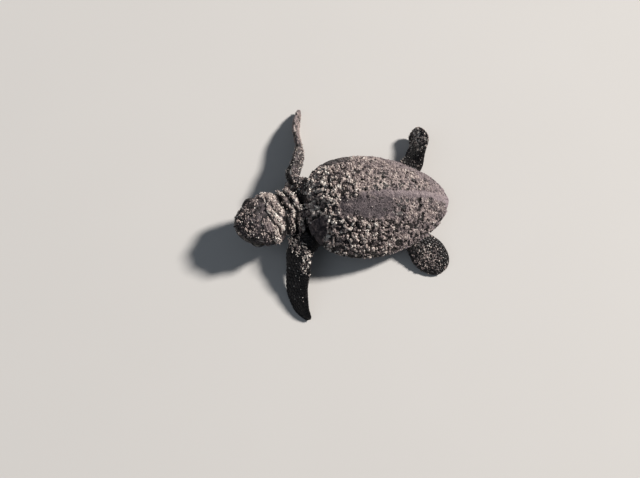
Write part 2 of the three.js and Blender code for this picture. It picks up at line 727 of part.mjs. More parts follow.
// A horny shield of the head between two shares of its length and two angles in degrees.
function shield(startT, stopT, startDegrees, stopDegrees) {
  const start = THREE.MathUtils.degToRad(startDegrees);
  const stop = THREE.MathUtils.degToRad(stopDegrees);
  const length = HEAD_LENGTH * (stopT - startT);
  const breadth = HEAD_TOP * Math.abs(stop - start);
  const lines = (size, inner) => [SHIELD_SEAM, SHIELD_SEAM + SHIELD_BEVEL].map((inset) => inset / size)
    .concat(inner, [SHIELD_SEAM + SHIELD_BEVEL, SHIELD_SEAM].map((inset) => 1 - inset / size));
  const at = (out) => (u, v, edge) => headPoint(
    mix(startT, stopT, u),
    mix(start, stop, v),
    out ?? (edge ? 0.05 : SHIELD_RAISE),
  );
  return blockBetween(lines(length, []), lines(breadth, breadth > 4 ? [0.5] : []), at(null), at(-0.7));
}

function headShields() {
  const shields = [
    shield(0.52, 0.63, -17, 17),
    shield(0.3, 0.51, -27, 27),
    shield(0.05, 0.29, -8, 8),
  ];
  for (const side of [1, -1]) {
    shields.push(shield(0.78, 0.9, 2 * side, 34 * side));
    shields.push(shield(0.64, 0.77, 2 * side, 30 * side));
    shields.push(shield(0.5, 0.66, 21 * side, 44 * side));
    shields.push(shield(0.05, 0.29, 10 * side, 44 * side));
    shields.push(shield(0.31, 0.48, 31 * side, 60 * side));
    shields.push(shield(0.06, 0.29, 47 * side, 80 * side));
    shields.push(shield(0.32, 0.45, 64 * side, 96 * side));
  }
  return shields;
}

// Places a solid of the head's own frame in the turtle's frame.
function headMatrix() {
  const forward = new THREE.Vector3(
    -Math.cos(HEAD_TURN) * Math.cos(HEAD_LIFT),
    -Math.sin(HEAD_TURN) * Math.cos(HEAD_LIFT),
    Math.sin(HEAD_LIFT),
  );
  const right = new THREE.Vector3(-Math.sin(HEAD_TURN), Math.cos(HEAD_TURN), 0);
  const up = right.clone().cross(forward);
  return new THREE.Matrix4().makeBasis(forward, right.negate(), up).setPosition(HEAD_REAR);
}

const eyeCentre = (side) => new THREE.Vector3(
  HEAD_LENGTH * EYE_SHARE,
  side * (headHalfWidth(EYE_SHARE) - EYE_SUNK),
  EYE_LIFT,
);

function eyeball(side, radius) {
  const sphere = new THREE.SphereGeometry(radius, 16, 10);
  sphere.rotateX(Math.PI / 2);
  const centre = eyeCentre(side);
  sphere.translate(centre.x, centre.y, centre.z);
  return solidOfGeometry(sphere);
}

// A ring of lid round the eye, facing out, forward and a little up.
function eyelid(side) {
  const facing = new THREE.Vector3(0.32, side, 0.22).normalize();
  const ring = new THREE.TorusGeometry(EYE_RADIUS + 0.12, LID_TUBE, 6, 16);
  ring.scale(1.12, 0.86, 1);
  const turn = new THREE.Quaternion().setFromUnitVectors(new THREE.Vector3(0, 0, 1), facing);
  const spot = eyeCentre(side).addScaledVector(facing, 0.85);
  return moved(solidOfGeometry(ring), new THREE.Matrix4().compose(spot, turn, new THREE.Vector3(1, 1, 1)));
}

function nostril(side) {
  const pit = new THREE.SphereGeometry(0.42, 8, 6);
  const [x, y, z] = headPoint(0.94, side * 0.42, 0);
  pit.translate(x, y, z);
  return solidOfGeometry(pit);
}

function eggTooth() {
  const cone = new THREE.ConeGeometry(0.42, 1.2, 7);
  cone.rotateZ(-Math.PI / 2);
  cone.translate(HEAD_LENGTH * 0.992, 0, 1.1);
  return solidOfGeometry(cone);
}

// The block of space that holds the lower jaw, grown upwards and backwards by a margin.
function jawSpace(margin) {
  const box = new THREE.BoxGeometry(HEAD_LENGTH, 2 * HEAD_WIDTH, HEAD_BOTTOM * 2);
  box.translate(HEAD_LENGTH / 2, 0, -HEAD_BOTTOM);
  box.rotateY(0.09);
  box.translate(HEAD_LENGTH * MOUTH_CORNER - margin, 0, MOUTH_FRONT + 0.7 + margin);
  return solidOfGeometry(box);
}

function headParts() {
  const lids = [eyelid(1), eyelid(-1)];
  const whole = wasm.Manifold.union([headBase(), ...headShields(), eggTooth(), ...lids]);
  const hollows = [eyeball(1, EYE_RADIUS + GAP), eyeball(-1, EYE_RADIUS + GAP), nostril(1), nostril(-1)];
  const carved = whole.subtract(wasm.Manifold.union(hollows));
  return { head: carved.subtract(jawSpace(GAP)), lower_jaw: carved.intersect(jawSpace(0)) };
}

// ---------------------------------------------------------------- torso

const TORSO_RHO = 0.82;

// The trunk fills the room between the two halves of the shell.
function trunkBody() {
  const under = [TORSO_RHO, 0.62, 0.4, 0.16];
  const top = (x, y) => carapaceUnder(x, y) - GAP - 0.02;
  const bottom = (x, y) => 1.5 + 2.4 * planRho(x, y) ** 2;
  return skinOverRings([
    ...under.slice().reverse().map((rho) => shellRing(rho, top, TRUNK_SECTORS)),
    ...[TORSO_RHO, 0.5, 0.2].map((rho) => shellRing(rho, bottom, TRUNK_SECTORS)),
  ]);
}

// ---------------------------------------------------------------- assembly

function buildSolids() {
  const room = carapaceRoom().add(plastronBody(GAP));
  const clear = (body) => body.subtract(room).trimByPlane([0, 0, 1], 0);
  const headPlace = headMatrix();
  const forward = new THREE.Vector3().setFromMatrixColumn(headPlace, 0);
  const headLevel = forward.dot(HEAD_REAR);
  const bareNeck = neckBody(0).trimByPlane(forward.clone().negate().toArray(), GAP - headLevel);
  const neckRoom = neckBody(GAP).trimByPlane([-1, 0, 0], -NECK_CUT_X - GAP / 2);
  const stubs = [bareNeck.trimByPlane([1, 0, 0], NECK_CUT_X + GAP / 2)];

  const solids = { carapace: carapace(), plastron: plastron() };
  solids.neck = clear(bareNeck.trimByPlane([-1, 0, 0], -NECK_CUT_X + GAP / 2));
  for (const [name, spec] of Object.entries(LIMBS)) {
    const flipper = limb(spec.waypoints, 13, 12, spec.shape(spec.lead, spec.rootChord));
    const { outer, stub } = partedAt(flipper.body, flipper.path, spec.cut);
    const claws = spec.claws.map(([t, length, radius]) => claw(flipper, t, length, radius));
    solids[name] = clear(wasm.Manifold.union([outer, ...claws]).subtract(neckRoom));
    stubs.push(stub.subtract(neckRoom));
  }
  const tailLimb = tail();
  const tailParts = partedAt(tailLimb.body, tailLimb.path, TAIL_CUT);
  solids.tail = clear(tailParts.outer);
  stubs.push(tailParts.stub);

  const { head, lower_jaw: jaw } = headParts();
  solids.head = moved(head, headPlace);
  solids.lower_jaw = moved(jaw, headPlace);
  solids.eye_right = moved(eyeball(-1, EYE_RADIUS), headPlace);
  solids.eye_left = moved(eyeball(1, EYE_RADIUS), headPlace);
  const trunk = trunkBody().subtract(plastronBody(GAP));
  solids.torso = clear(wasm.Manifold.union(stubs)).add(trunk);
  return solids;
}

// ---------------------------------------------------------------- materials and scene graph

const MATERIALS = {
  shell: { color: 0x5a514b, roughness: 0.85 },
  belly: { color: 0x6e6259, roughness: 0.8 },
  skin: { color: 0x3a3431, roughness: 0.8 },
  eye: { color: 0x0d0b0b, roughness: 0.15 },
};

const NODE_MATERIALS = {
  carapace: MATERIALS.shell,
  plastron: MATERIALS.belly,
  eye_left: MATERIALS.eye,
  eye_right: MATERIALS.eye,
};

function meshOf(name, body) {
  const { vertProperties, triVerts } = largestOf(body.simplify(SMALLEST_DETAIL)).getMesh();
  const points = [];
  for (let start = 0; start < vertProperties.length; start += 3) {
    points.push(new THREE.Vector3().fromArray(vertProperties, start));
  }
  const triangles = [];
  for (let start = 0; start < triVerts.length; start += 3) {
    triangles.push(Array.from(triVerts.subarray(start, start + 3)));
  }
  const geometry = new THREE.BufferGeometry().setFromPoints(points);
  geometry.setIndex(withoutSlivers(points, triangles).flat());
  const finish = NODE_MATERIALS[name] ?? MATERIALS.skin;
  const material = new THREE.MeshStandardMaterial({ ...finish, metalness: 0, flatShading: true });
  const mesh = new THREE.Mesh(geometry, material);
  mesh.name = name;
  return mesh;
}

const turtle = new THREE.Group();
for (const [name, body] of Object.entries(buildSolids())) {
  turtle.add(meshOf(name, body));
}

export default turtle;
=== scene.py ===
"""A loggerhead turtle hatchling: horny plates, scaly skin, beak, claws, eyes and the sand that clings to it.

Lengths are millimetres until a mesh is made.  The turtle faces -X, its right side is +Y, and +Z is up.
"""
import itertools
import math

import bpy
import numpy as np
from mathutils import Matrix, Vector
from mathutils.bvhtree import BVHTree


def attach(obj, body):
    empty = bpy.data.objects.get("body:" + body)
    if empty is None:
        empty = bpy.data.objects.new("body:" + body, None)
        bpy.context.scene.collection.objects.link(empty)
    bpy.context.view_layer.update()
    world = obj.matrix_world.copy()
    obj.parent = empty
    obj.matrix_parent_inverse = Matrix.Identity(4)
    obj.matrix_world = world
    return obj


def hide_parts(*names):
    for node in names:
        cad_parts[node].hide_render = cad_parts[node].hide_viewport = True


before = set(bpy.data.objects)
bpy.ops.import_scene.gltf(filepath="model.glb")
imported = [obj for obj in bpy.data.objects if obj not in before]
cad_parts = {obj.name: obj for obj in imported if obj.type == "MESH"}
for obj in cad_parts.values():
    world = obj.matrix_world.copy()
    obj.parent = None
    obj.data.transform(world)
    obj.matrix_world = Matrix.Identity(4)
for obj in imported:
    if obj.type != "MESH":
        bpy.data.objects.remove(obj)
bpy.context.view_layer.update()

MM = 0.001
TURN = 2 * math.pi
UP = np.array([0, 0, 1.0])
SIDES = (1, -1)

# ---------------------------------------------------------------- driving sizes

SHELL_LENGTH = 44
SHELL_WIDTH = 32.2
WIDEST_X = -3.5
DOME_HEIGHT = 10.6
RIM_HEIGHT = 7
RIM_THICKNESS = 1.2

HEAD_LENGTH = 16.2
HEAD_WIDTH = 15.2
HEAD_REAR = np.array([-27.9, -1.3, 9.1])
HEAD_TURN = math.radians(9)
HEAD_LIFT = math.radians(6)
EYE_RADIUS = 2.3

FRONT_FLIPPER_CHORD = 9.6
HIND_FLIPPER_CHORD = 10.8

# ---------------------------------------------------------------- small maths


def mix(a, b, t):
    return a + (b - a) * t


def ramp(value, start, stop):
    t = np.clip((value - start) / (stop - start), 0, 1)
    return t * t * (3 - 2 * t)


def bell(value, width):
    return np.exp(-((value / width) ** 2))


def signed_power(value, power):
    return np.sign(value) * np.abs(value) ** power


def unit(vectors):
    return vectors / np.linalg.norm(vectors, axis=-1, keepdims=True)


def dot(a, b):
    return np.sum(a * b, axis=-1, keepdims=True)


def xyz(x, y, z):
    return np.stack(np.broadcast_arrays(x, y, z), -1)


def plan(points):
    return points[..., 0], points[..., 1]


def shares(count):
    """A column of shares from 0 to 1."""
    return np.linspace(0, 1, count)[:, None]


def circle(count):
    """A row of angles round a whole turn."""
    return np.linspace(0, TURN, count, endpoint=False)[None, :]


def from_line(x, y, start, stop):
    """How far spots in plan lie from the line between two others."""
    along, across = stop[0] - start[0], stop[1] - start[1]
    t = np.clip(((x - start[0]) * along + (y - start[1]) * across) / (along ** 2 + across ** 2), 0, 1)
    return np.hypot(x - start[0] - t * along, y - start[1] - t * across)


def field(points, cell, seed):
    """Smooth noise from -1 to 1 over points, with features about a cell apart."""
    size = 32
    table = np.random.default_rng(seed).uniform(-1, 1, (size, size, size))
    place = np.asarray(points) / cell
    base = np.floor(place).astype(int)
    part = place - base
    part = part * part * (3 - 2 * part)
    total = np.zeros(place.shape[:-1])
    for corner in np.ndindex(2, 2, 2):
        weight = np.prod(np.where(corner, part, 1 - part), axis=-1)
        total += weight * table[tuple(np.moveaxis((base + corner) % size, -1, 0))]
    return total


def cells_near(points, cell, seed):
    """How far points lie from the edge of their cell in a random pattern, and each cell's own draw."""
    size = 16
    draw = np.random.default_rng(seed)
    centres = draw.uniform(0.1, 0.9, (size, size, size, 3))
    draws = draw.uniform(0, 1, (size, size, size))
    place = np.asarray(points) / cell
    base = np.floor(place).astype(int)
    nearest, second, own = np.full((3, *place.shape[:-1]), 9.0)
    for offset in np.ndindex(3, 3, 3):
        index = base + offset - 1
        wrapped = tuple(np.moveaxis(index % size, -1, 0))
        distance = np.linalg.norm(index + centres[wrapped] - place, axis=-1)
        closer = distance < nearest
        second = np.where(closer, nearest, np.minimum(second, distance))
        own = np.where(closer, draws[wrapped], own)
        nearest = np.minimum(nearest, distance)
    return cell * (second - nearest) / 2, own


# ---------------------------------------------------------------- meshes

FLOOR_CLEAR = 0.01
FLOOR_EASE = 0.16


def over_floor(points):
    """Points eased up, in order, where they would press on the floor or pass through it."""
    x, y, z = points.T
    room = FLOOR_EASE - FLOOR_CLEAR
    eased = FLOOR_CLEAR + room * np.exp(np.minimum(z - FLOOR_EASE, 0) / room)
    return xyz(x, y, np.where(z < FLOOR_EASE, eased, z))


def placed(name, data):
    """An object in the scene."""
    made = bpy.data.objects.new(name, data)
    bpy.context.scene.collection.objects.link(made)
    return made


def note(mesh, name, values):
    """Keeps a value for each point of a mesh."""
    mesh.attributes.new(name, "FLOAT", "POINT").data.foreach_set("value", values.astype(np.float32))


class Parts:
    """Parts that are joined in one piece, with values that vary over their points."""

    def __init__(self):
        self.points = []
        self.faces = {3: [], 4: []}
        self.values = {}
        self.places = []
        self.count = 0

    def _hold(self, points, values):
        for name, value in values.items():
            value = value(points) if callable(value) else value
            self.values.setdefault(name, []).append(np.broadcast_to(value, len(points)))
        self.points.append(points)
        self.count += len(points)

    def add(self, points, faces, **values):
        """Adds a closed part, with its faces turned out; a value may be a function of the points."""
        corners = [points[block] for block in faces]
        volume = sum(
            np.sum(block[:, 0] * np.cross(block[:, side], block[:, side + 1]))
            for block in corners for side in range(1, block.shape[1] - 1)
        )
        for block in faces:
            turned = block[:, ::-1] if volume < 0 else block
            self.faces[block.shape[1]].append(turned + self.count)
        self._hold(points, values)

    def lay(self, grid, away, seen, **values):
        """Adds an open sheet over a grid of points, of its seen cells alone, facing away."""
        cells = quads(np.arange(seen.size).reshape(seen.shape))[quads(seen).any(-1)]
        normal = np.cross(grid[:-1, 1:] - grid[:-1, :-1], grid[1:, :-1] - grid[:-1, :-1])
        if np.sum(normal * away[:-1, :-1]) < 0:
            cells = cells[:, ::-1]
        kept, cells = np.unique(cells, return_inverse=True)
        self.faces[4].append(cells.reshape(-1, 4) + self.count)
        self._hold(grid.reshape(-1, 3)[kept], {name: value.ravel()[kept] for name, value in values.items()})

    def piece(self, name, finish, smooth=True):
        """Makes the joined piece, with the map its look is baked on where its points have places there."""
        points = over_floor(np.concatenate(self.points)) * MM
        faces = [np.concatenate(blocks) for blocks in self.faces.values() if blocks]
        corners = np.concatenate([block.ravel() for block in faces])
        sizes = np.concatenate([np.full(len(block), block.shape[1]) for block in faces])
        mesh = bpy.data.meshes.new(name)
        mesh.vertices.add(len(points))
        mesh.vertices.foreach_set("co", points.ravel())
        mesh.loops.add(len(corners))
        mesh.loops.foreach_set("vertex_index", corners)
        mesh.polygons.add(len(sizes))
        mesh.polygons.foreach_set("loop_start", np.cumsum(sizes) - sizes)
        mesh.update(calc_edges=True)
        for key, value in self.values.items():
            note(mesh, key, np.concatenate(value))
        mesh.polygons.foreach_set("use_smooth", np.full(len(sizes), smooth))
        mesh.materials.append(finish)
        if self.places:
            places = np.concatenate(self.places)[corners]
            mesh.uv_layers.new(name="OFBake").data.foreach_set("uv", places.ravel())
        return placed(name, mesh)


def quads(grid):
    """The four corners of each cell of a grid."""
    return np.stack([grid[:-1, :-1], grid[:-1, 1:], grid[1:, 1:], grid[1:, :-1]], -1).reshape(-1, 4)


def ring_index(count, sides):
    """The numbers of the points of a stack of rings, with the first of each ring repeated at its end."""
    return np.pad(np.arange(count * sides).reshape(count, sides), ((0, 0), (0, 1)), mode="wrap")


def over_rings(rings):
    """Points and faces of a closed skin over a stack of rings."""
    count, sides, _ = rings.shape
    index = ring_index(count, sides)
    hub = np.full(sides, count * sides)
    near = np.stack([hub, index[0, 1:], index[0, :-1]], -1)
    far = np.stack([hub + 1, index[-1, :-1], index[-1, 1:]], -1)
    points = np.concatenate([rings.reshape(-1, 3), rings[[0, -1]].mean(axis=1)])
    return points, [quads(index), np.concatenate([near, far])]


def block_between(top, bottom):
    """Points and faces of a closed block between two grids of points."""
    rows, columns, _ = top.shape
    layer = rows * columns
    index = np.arange(layer).reshape(rows, columns)
    over = quads(index)
    border = np.concatenate([index[0, :-1], index[:-1, -1], index[-1, :0:-1], index[:0:-1, 0]])
    after = np.roll(border, -1)
    sides = np.stack([after, border, border + layer, after + layer], -1)
    points = np.concatenate([top.reshape(-1, 3), bottom.reshape(-1, 3)])
    return points, [np.concatenate([over, over[:, ::-1] + layer, sides])]


# ---------------------------------------------------------------- finishes

SOCKETS = {"specular": "Specular IOR Level", "coat": "Coat Weight", "coat_roughness": "Coat Roughness"}


class Value:
    """A socket in a finish.  Arithmetic on it, from either side, adds Math nodes."""

    def __init__(self, finish, socket):
        self.finish = finish
        self.socket = socket

    def _math(self, operation, *sockets):
        return self.finish.node("ShaderNodeMath", {"operation": operation}, dict(enumerate(sockets)))

    def __add__(self, other):
        return self._math("ADD", self, other)

    __radd__ = __add__

    def __sub__(self, other):
        return self._math("SUBTRACT", self, other)

    def __rsub__(self, other):
        return self._math("SUBTRACT", other, self)

    def __mul__(self, other):
        return self._math("MULTIPLY", self, other)

    __rmul__ = __mul__

    def clamped(self):
        return self.finish.node("ShaderNodeClamp", {}, {0: self})


class Finish:
    """A material, the nodes that make it, and its constants."""

    def __init__(self, name, **constants):
        self.material = bpy.data.materials.new(name)
        self.material.use_nodes = True
        self.nodes = self.material.node_tree.nodes
        self.links = self.material.node_tree.links
        self.shader = self.nodes["Principled BSDF"]
        for key, value in constants.items():
            self.shader.inputs[SOCKETS[key]].default_value = value
        self.place = self.node("ShaderNodeTexCoord", {}, {}, "Object")

    def node(self, kind, settings, sockets, output=0):
        """Adds a node: its settings first, then the values or links of its sockets."""
        made = self.nodes.new(kind)
        for key, value in settings.items():
            if key == "stops":
                self._set_stops(made.color_ramp.elements, value)
            else:
                setattr(made, key, value)
        for key, value in sockets.items():
            self.feed(made.inputs[key], value)
        return Value(self, made.outputs[output])

    def _set_stops(self, elements, stops):
        while len(elements) < len(stops):
            elements.new(0.5)
        for element, (position, colour) in zip(elements, stops):
            element.position = position
            element.color = (*colour, 1)

    def feed(self, socket, value):
        """Links a socket, or sets it to a number or a colour."""
        if isinstance(value, Value):
            self.links.new(value.socket, socket)
        else:
            socket.default_value = (*value, 1) if isinstance(value, tuple) else value

    def noise(self, size, detail=3, roughness=0.55):
        """Cloudy noise from 0 to 1, with features of about that size."""
        sockets = {"Vector": self.place, "Scale": 1 / (size * MM), "Detail": detail, "Roughness": roughness}
        return self.node("ShaderNodeTexNoise", {}, sockets, "Fac")

    def cells(self, size, feature="F1", output="Distance"):
        """A pattern of cells of about that size."""
        sockets = {"Vector": self.place, "Scale": 1 / (size * MM)}
        return self.node("ShaderNodeTexVoronoi", {"feature": feature}, sockets, output)

    def cell_draw(self, size, channel):
        """A random value for each cell of a pattern."""
        return self.node("ShaderNodeSeparateColor", {}, {0: self.cells(size, output="Color")}, channel)

    def blend(self, factor, a, b):
        """The colour a where the factor is 0, and b where it is 1."""
        return self.node("ShaderNodeMix", {"data_type": "RGBA"}, {"Factor": factor, 6: a, 7: b}, 2)

    def tones(self, factor, *stops):
        """Runs through colours; each stop is a place and a colour."""
        return self.node("ShaderNodeValToRGB", {"stops": stops}, {0: factor}, "Color")

    def map(self, value, low, high, to_low=0.0, to_high=1.0):
        """Carries a value from one range to another, and holds it there."""
        return self.node("ShaderNodeMapRange", {}, dict(enumerate((value, low, high, to_low, to_high))))

    def attribute(self, name):
        return self.node("ShaderNodeAttribute", {"attribute_name": name}, {}, "Fac")

    def show(self, colour, roughness, height=None, depth=0.1):
        """Feeds the shader; height is relief, and depth its full height in millimetres."""
        self.feed(self.shader.inputs["Base Color"], colour)
        self.feed(self.shader.inputs["Roughness"], roughness)
        if height is not None:
            sockets = {"Height": height, "Strength": 1.0, "Distance": depth * MM}
            self.feed(self.shader.inputs["Normal"], self.node("ShaderNodeBump", {}, sockets))
        return self.material

    def show_dusty(self, ground, roughness, relief, depth):
        """Shows a ground under a film of fine dry dust, as thick as the piece's dust value says."""
        grain = self.noise(0.13, 3)
        film = self.attribute("dust") + (self.noise(1.6, 4) - 0.5) * 0.8 + (grain - 0.5) * 0.7 - 0.12
        cover = self.map(film, 0.12, 0.62)
        shade = self.map(grain * 0.7 + self.noise(0.5, 2) * 0.3, 0.3, 0.7)
        dust = self.tones(shade, (0.0, DARK_DUST_AND_JOINT_SHADE), (0.5, DUST_MAUVE), (1.0, DUST_TAN))
        relief = relief + (cover * 0.4 + grain * cover * 0.9)
        roughness = self.map(cover, 0, 1, roughness, 0.95)
        return self.show(self.blend(cover, ground, dust), roughness, relief, depth)


DUST_MAUVE = (0.23, 0.189, 0.203)
DUST_TAN = (0.32, 0.255, 0.235)
# A dark dust tone; in packed sand it is also the painted shade in the joints between grains.
DARK_DUST_AND_JOINT_SHADE = (0.085, 0.068, 0.072)
GRAIN_SIZE = 0.42
FINE_GRAIN_SIZE = 0.2


def shell_finish():
    finish = Finish("shell_horn", specular=0.3)
    ground = finish.tones(
        finish.noise(2.4, 5) * 0.6 + finish.noise(0.55, 4, 0.7) * 0.4,
        (0.3, (0.007, 0.0062, 0.006)), (0.5, (0.017, 0.0142, 0.0135)), (0.7, (0.036, 0.029, 0.026)),
    )
    seam = finish.map(finish.attribute("inset"), 0.0, 0.35, 0.45, 1.0)
    ground = finish.blend(seam, (0.005, 0.0045, 0.0045), ground)
    return finish.show_dusty(ground, 0.5, finish.cells(0.34) * 0.8 + finish.noise(0.2, 3) * 0.5, 0.09)


def seam_finish():
    """The bed that shows in the seams between plates, where dust gathers behind."""
    finish = Finish("shell_seam", specular=0.2)
    ground = finish.tones(finish.noise(0.7), (0.3, (0.005, 0.0045, 0.0045)), (0.7, (0.018, 0.0155, 0.015)))
    return finish.show_dusty(ground, 0.8, finish.noise(0.25, 3), 0.06)


def belly_finish():
    finish = Finish("belly_horn", specular=0.35)
    ground = finish.tones(
        finish.noise(2.6, 5),
        (0.3, (0.05, 0.036, 0.028)), (0.55, (0.13, 0.098, 0.074)), (0.75, (0.22, 0.17, 0.13)),
    )
    seam = finish.map(finish.attribute("inset"), 0.0, 0.5, 0.3, 1.0)
    ground = finish.blend(seam, (0.02, 0.016, 0.013), ground)
    return finish.show_dusty(ground, 0.5, finish.cells(0.4) * 0.6 + finish.noise(0.25, 3) * 0.5, 0.08)


def skin_finish():
    finish = Finish("skin", specular=0.22)
    ground = finish.tones(
        finish.noise(1.8, 4),
        (0.3, (0.006, 0.0053, 0.0055)), (0.55, (0.013, 0.0112, 0.0115)), (0.8, (0.03, 0.026, 0.025)),
    )
    crease = finish.cells(0.62, "DISTANCE_TO_EDGE")
    ground = finish.blend(finish.map(crease, 0.0, 0.12), (0.004, 0.0035, 0.0037), ground)
    return finish.show_dusty(ground, 0.5, finish.map(crease, 0.0, 0.3) + finish.noise(0.18, 3) * 0.4, 0.1)


def scale_finish():
    finish = Finish("scales", specular=0.25)
    ground = finish.tones(
        finish.attribute("tone") * 0.5 + finish.noise(0.9, 4) * 0.5,
        (0.2, (0.0068, 0.006, 0.0062)), (0.5, (0.0155, 0.0134, 0.0136)), (0.8, (0.04, 0.034, 0.032)),
    )
    return finish.show_dusty(ground, 0.42, finish.noise(0.16, 4, 0.65), 0.06)


def beak_finish():
    finish = Finish("beak_horn", specular=0.45)
    ground = finish.tones(finish.noise(1.1, 4), (0.3, (0.012, 0.0098, 0.009)), (0.7, (0.05, 0.038, 0.031)))
    return finish.show_dusty(ground, 0.36, finish.noise(0.22, 3), 0.05)


def claw_finish():
    finish = Finish("claw_horn", specular=0.5)
    ground = finish.tones(finish.noise(0.5, 3), (0.3, (0.03, 0.023, 0.018)), (0.7, (0.11, 0.085, 0.06)))
    return finish.show(ground, finish.map(finish.noise(0.3), 0.3, 0.7, 0.28, 0.5))


def eye_finish():
    """A black pupil in a dark brown iris, by how far a spot lies from the middle of the eye."""
    finish = Finish("eye", specular=0.22, coat=0.08, coat_roughness=0.02)
    colour = finish.tones(
        finish.attribute("reach"),
        (0.0, (0.002, 0.002, 0.002)), (0.30, (0.003, 0.0025, 0.002)), (0.38, (0.026, 0.015, 0.009)),
        (0.62, (0.012, 0.008, 0.0055)), (0.72, (0.004, 0.003, 0.003)), (1.0, (0.01, 0.0085, 0.008)),
    )
    fibres = finish.noise(0.12, 2)
    colour = finish.blend(fibres * 0.5, colour, (0.003, 0.0025, 0.002))
    return finish.show(colour, finish.map(fibres, 0.3, 0.7, 0.1, 0.16))


def sand_tones(finish, draw):
    """Quartz grains from near black to cream, in the tone that a draw from 0 to 1 gives."""
    return finish.tones(
        draw.clamped(),
        (0.0, (0.016, 0.013, 0.013)), (0.14, (0.055, 0.044, 0.044)), (0.34, (0.17, 0.135, 0.13)),
        (0.54, (0.32, 0.256, 0.24)), (0.72, (0.47, 0.385, 0.345)), (0.88, (0.66, 0.565, 0.5)),
        (1.0, (0.84, 0.78, 0.71)),
    )


def loose_sand_finish():
    """The grains that stand by themselves, each in its own tone."""
    finish = Finish("loose_sand", specular=0.4)
    colour = sand_tones(finish, finish.attribute("draw") + (finish.noise(0.22, 2) - 0.5) * 0.14)
    colour = finish.blend(finish.attribute("fine") * 0.5, colour, DUST_MAUVE)
    roughness = finish.map(finish.noise(0.3), 0.3, 0.7, 0.5, 0.85)
    return finish.show(colour, roughness, finish.noise(0.09, 2), 0.02)


def packed_sand_finish():
    """Sand that damp has packed in clumps: close grains of many tones, finer where the piece says so, with
    painted shade in the joints between grains.
    """
    finish = Finish("packed_sand", specular=0.3)
    draw = finish.attribute("draw") * 0.66 + finish.cell_draw(GRAIN_SIZE, "Red") * 0.2
    draw = draw + finish.cell_draw(FINE_GRAIN_SIZE, "Green") * 0.1 + finish.noise(0.3, 2) * 0.06
    sizes = (GRAIN_SIZE, FINE_GRAIN_SIZE)
    dome, small_dome = (finish.map(finish.cells(size), 0.3, 0.62, 1.0, 0.0) for size in sizes)
    colour = sand_tones(finish, draw)
    colour = finish.blend(finish.attribute("fine") * 0.75, colour, DUST_MAUVE)
    # The joints between the grain domes are darkened: painted shade.
    colour = finish.blend(finish.map(dome, 0.0, 0.5, 0.45, 1.0), DARK_DUST_AND_JOINT_SHADE, colour)
    roughness = finish.map(finish.noise(0.3), 0.3, 0.7, 0.75, 0.98)
    return finish.show(colour, roughness, dome * 0.7 + small_dome * 0.3, 0.16)


def floor_finish():
    finish = Finish("floor", specular=0.2)
    return finish.show(finish.blend(finish.noise(60, 2), (0.57, 0.55, 0.525), (0.59, 0.57, 0.545)), 0.9)


SHELL_HORN = shell_finish()
SEAM_HORN = seam_finish()
BELLY_HORN = belly_finish()
SKIN = skin_finish()
SCALES = scale_finish()
BEAK_HORN = beak_finish()
CLAW_HORN = claw_finish()
EYE = eye_finish()
LOOSE_SAND = loose_sand_finish()
PACKED_SAND = packed_sand_finish()

# ---------------------------------------------------------------- shell surfaces

HALF_WIDTH = SHELL_WIDTH / 2
FRONT_REACH = SHELL_LENGTH / 2 + WIDEST_X
REAR_REACH = SHELL_LENGTH / 2 - WIDEST_X
FRONT_POWER = 2.5
REAR_POWER = 1.75
DOME_POWER = 2.4
UNDERSIDE_DEPTH = 0.62 * DOME_HEIGHT
MARGIN_INNER = 0.82
MARGIN_OUTER = 1.025
UNDERSIDE_RHO = 0.86


def rim_z(x):
    """The rim lies lowest behind the middle and arches up over the neck."""
    return RIM_HEIGHT - 0.16 * x + 0.0035 * x * x


def reach_and_power(in_front):
    """How far the rim reaches from the widest place, and how full its curve is."""
    return np.where(in_front, FRONT_REACH, REAR_REACH), np.where(in_front, FRONT_POWER, REAR_POWER)


def plan_point(rho, theta):
    """Plan position at a share rho of the way out to the rim; theta is 0 at the rear and pi in front."""
    reach, power = reach_and_power(np.cos(theta) < 0)
    x = WIDEST_X + rho * reach * signed_power(np.cos(theta), 2 / power)
    return x, rho * HALF_WIDTH * signed_power(np.sin(theta), 2 / power)


def plan_rho(x, y):
    reach, power = reach_and_power(x < WIDEST_X)
    return ((np.abs(x - WIDEST_X) / reach) ** power + (np.abs(y) / HALF_WIDTH) ** power) ** (1 / power)


def curve_x(rho, y, in_front):
    """The x of the curve of constant rho at a given y."""
    reach, power = reach_and_power(in_front)
    left = np.maximum(rho ** power - (np.abs(y) / HALF_WIDTH) ** power, 0)
    return WIDEST_X + (-reach if in_front else reach) * left ** (1 / power)


def curve_y(rho, x):
    """The y of the curve of constant rho at a given x."""
    reach, power = reach_and_power(x < WIDEST_X)
    return HALF_WIDTH * np.maximum(rho ** power - (np.abs(x - WIDEST_X) / reach) ** power, 0) ** (1 / power)


def carapace_top(x, y):
    return rim_z(x) + DOME_HEIGHT * (1 - plan_rho(x, y) ** DOME_POWER)


def carapace_under(x, y):
    share = np.minimum(plan_rho(x, y) / UNDERSIDE_RHO, 1)
    return rim_z(x) - RIM_THICKNESS + UNDERSIDE_DEPTH * (1 - share ** DOME_POWER)


def on_dome(x, y):
    return xyz(x, y, carapace_top(x, y))


def plan_rings(rho, sides, height):
    """Rings round the middle of the shell, at shares of the way out to its rim."""
    x, y = plan_point(rho[:, None], circle(sides))
    return xyz(x, y, height(x, y))


# ---------------------------------------------------------------- dust on the shell


def shell_dust(points):
    """How dusty the shell is: thick behind and along the keel, thin between the clumps in front."""
    x, y = plan(points)
    share = sand_on_shell(x, y)[0]
    dust = mix(0.05 + 0.3 * share, 0.06 + 0.75 * share ** 2, rear_share(x, y))
    dust = mix(dust, 0.34, bare_shoulder(x, y))
    return mix(dust, 0.32, 0.85 * bare_margin(x, y))


def uneven(x, y, cell, seed):
    """Smooth noise over the plan of the shell."""
    return field(xyz(x, y, 0), cell, seed)


def rear_share(x, y):
    """0 where the sand stands in clumps in front, 1 where it is fine and close behind."""
    return ramp(x + 0.3 * y + 2.5 * uneven(x, y, 4, 50), -10, 8)


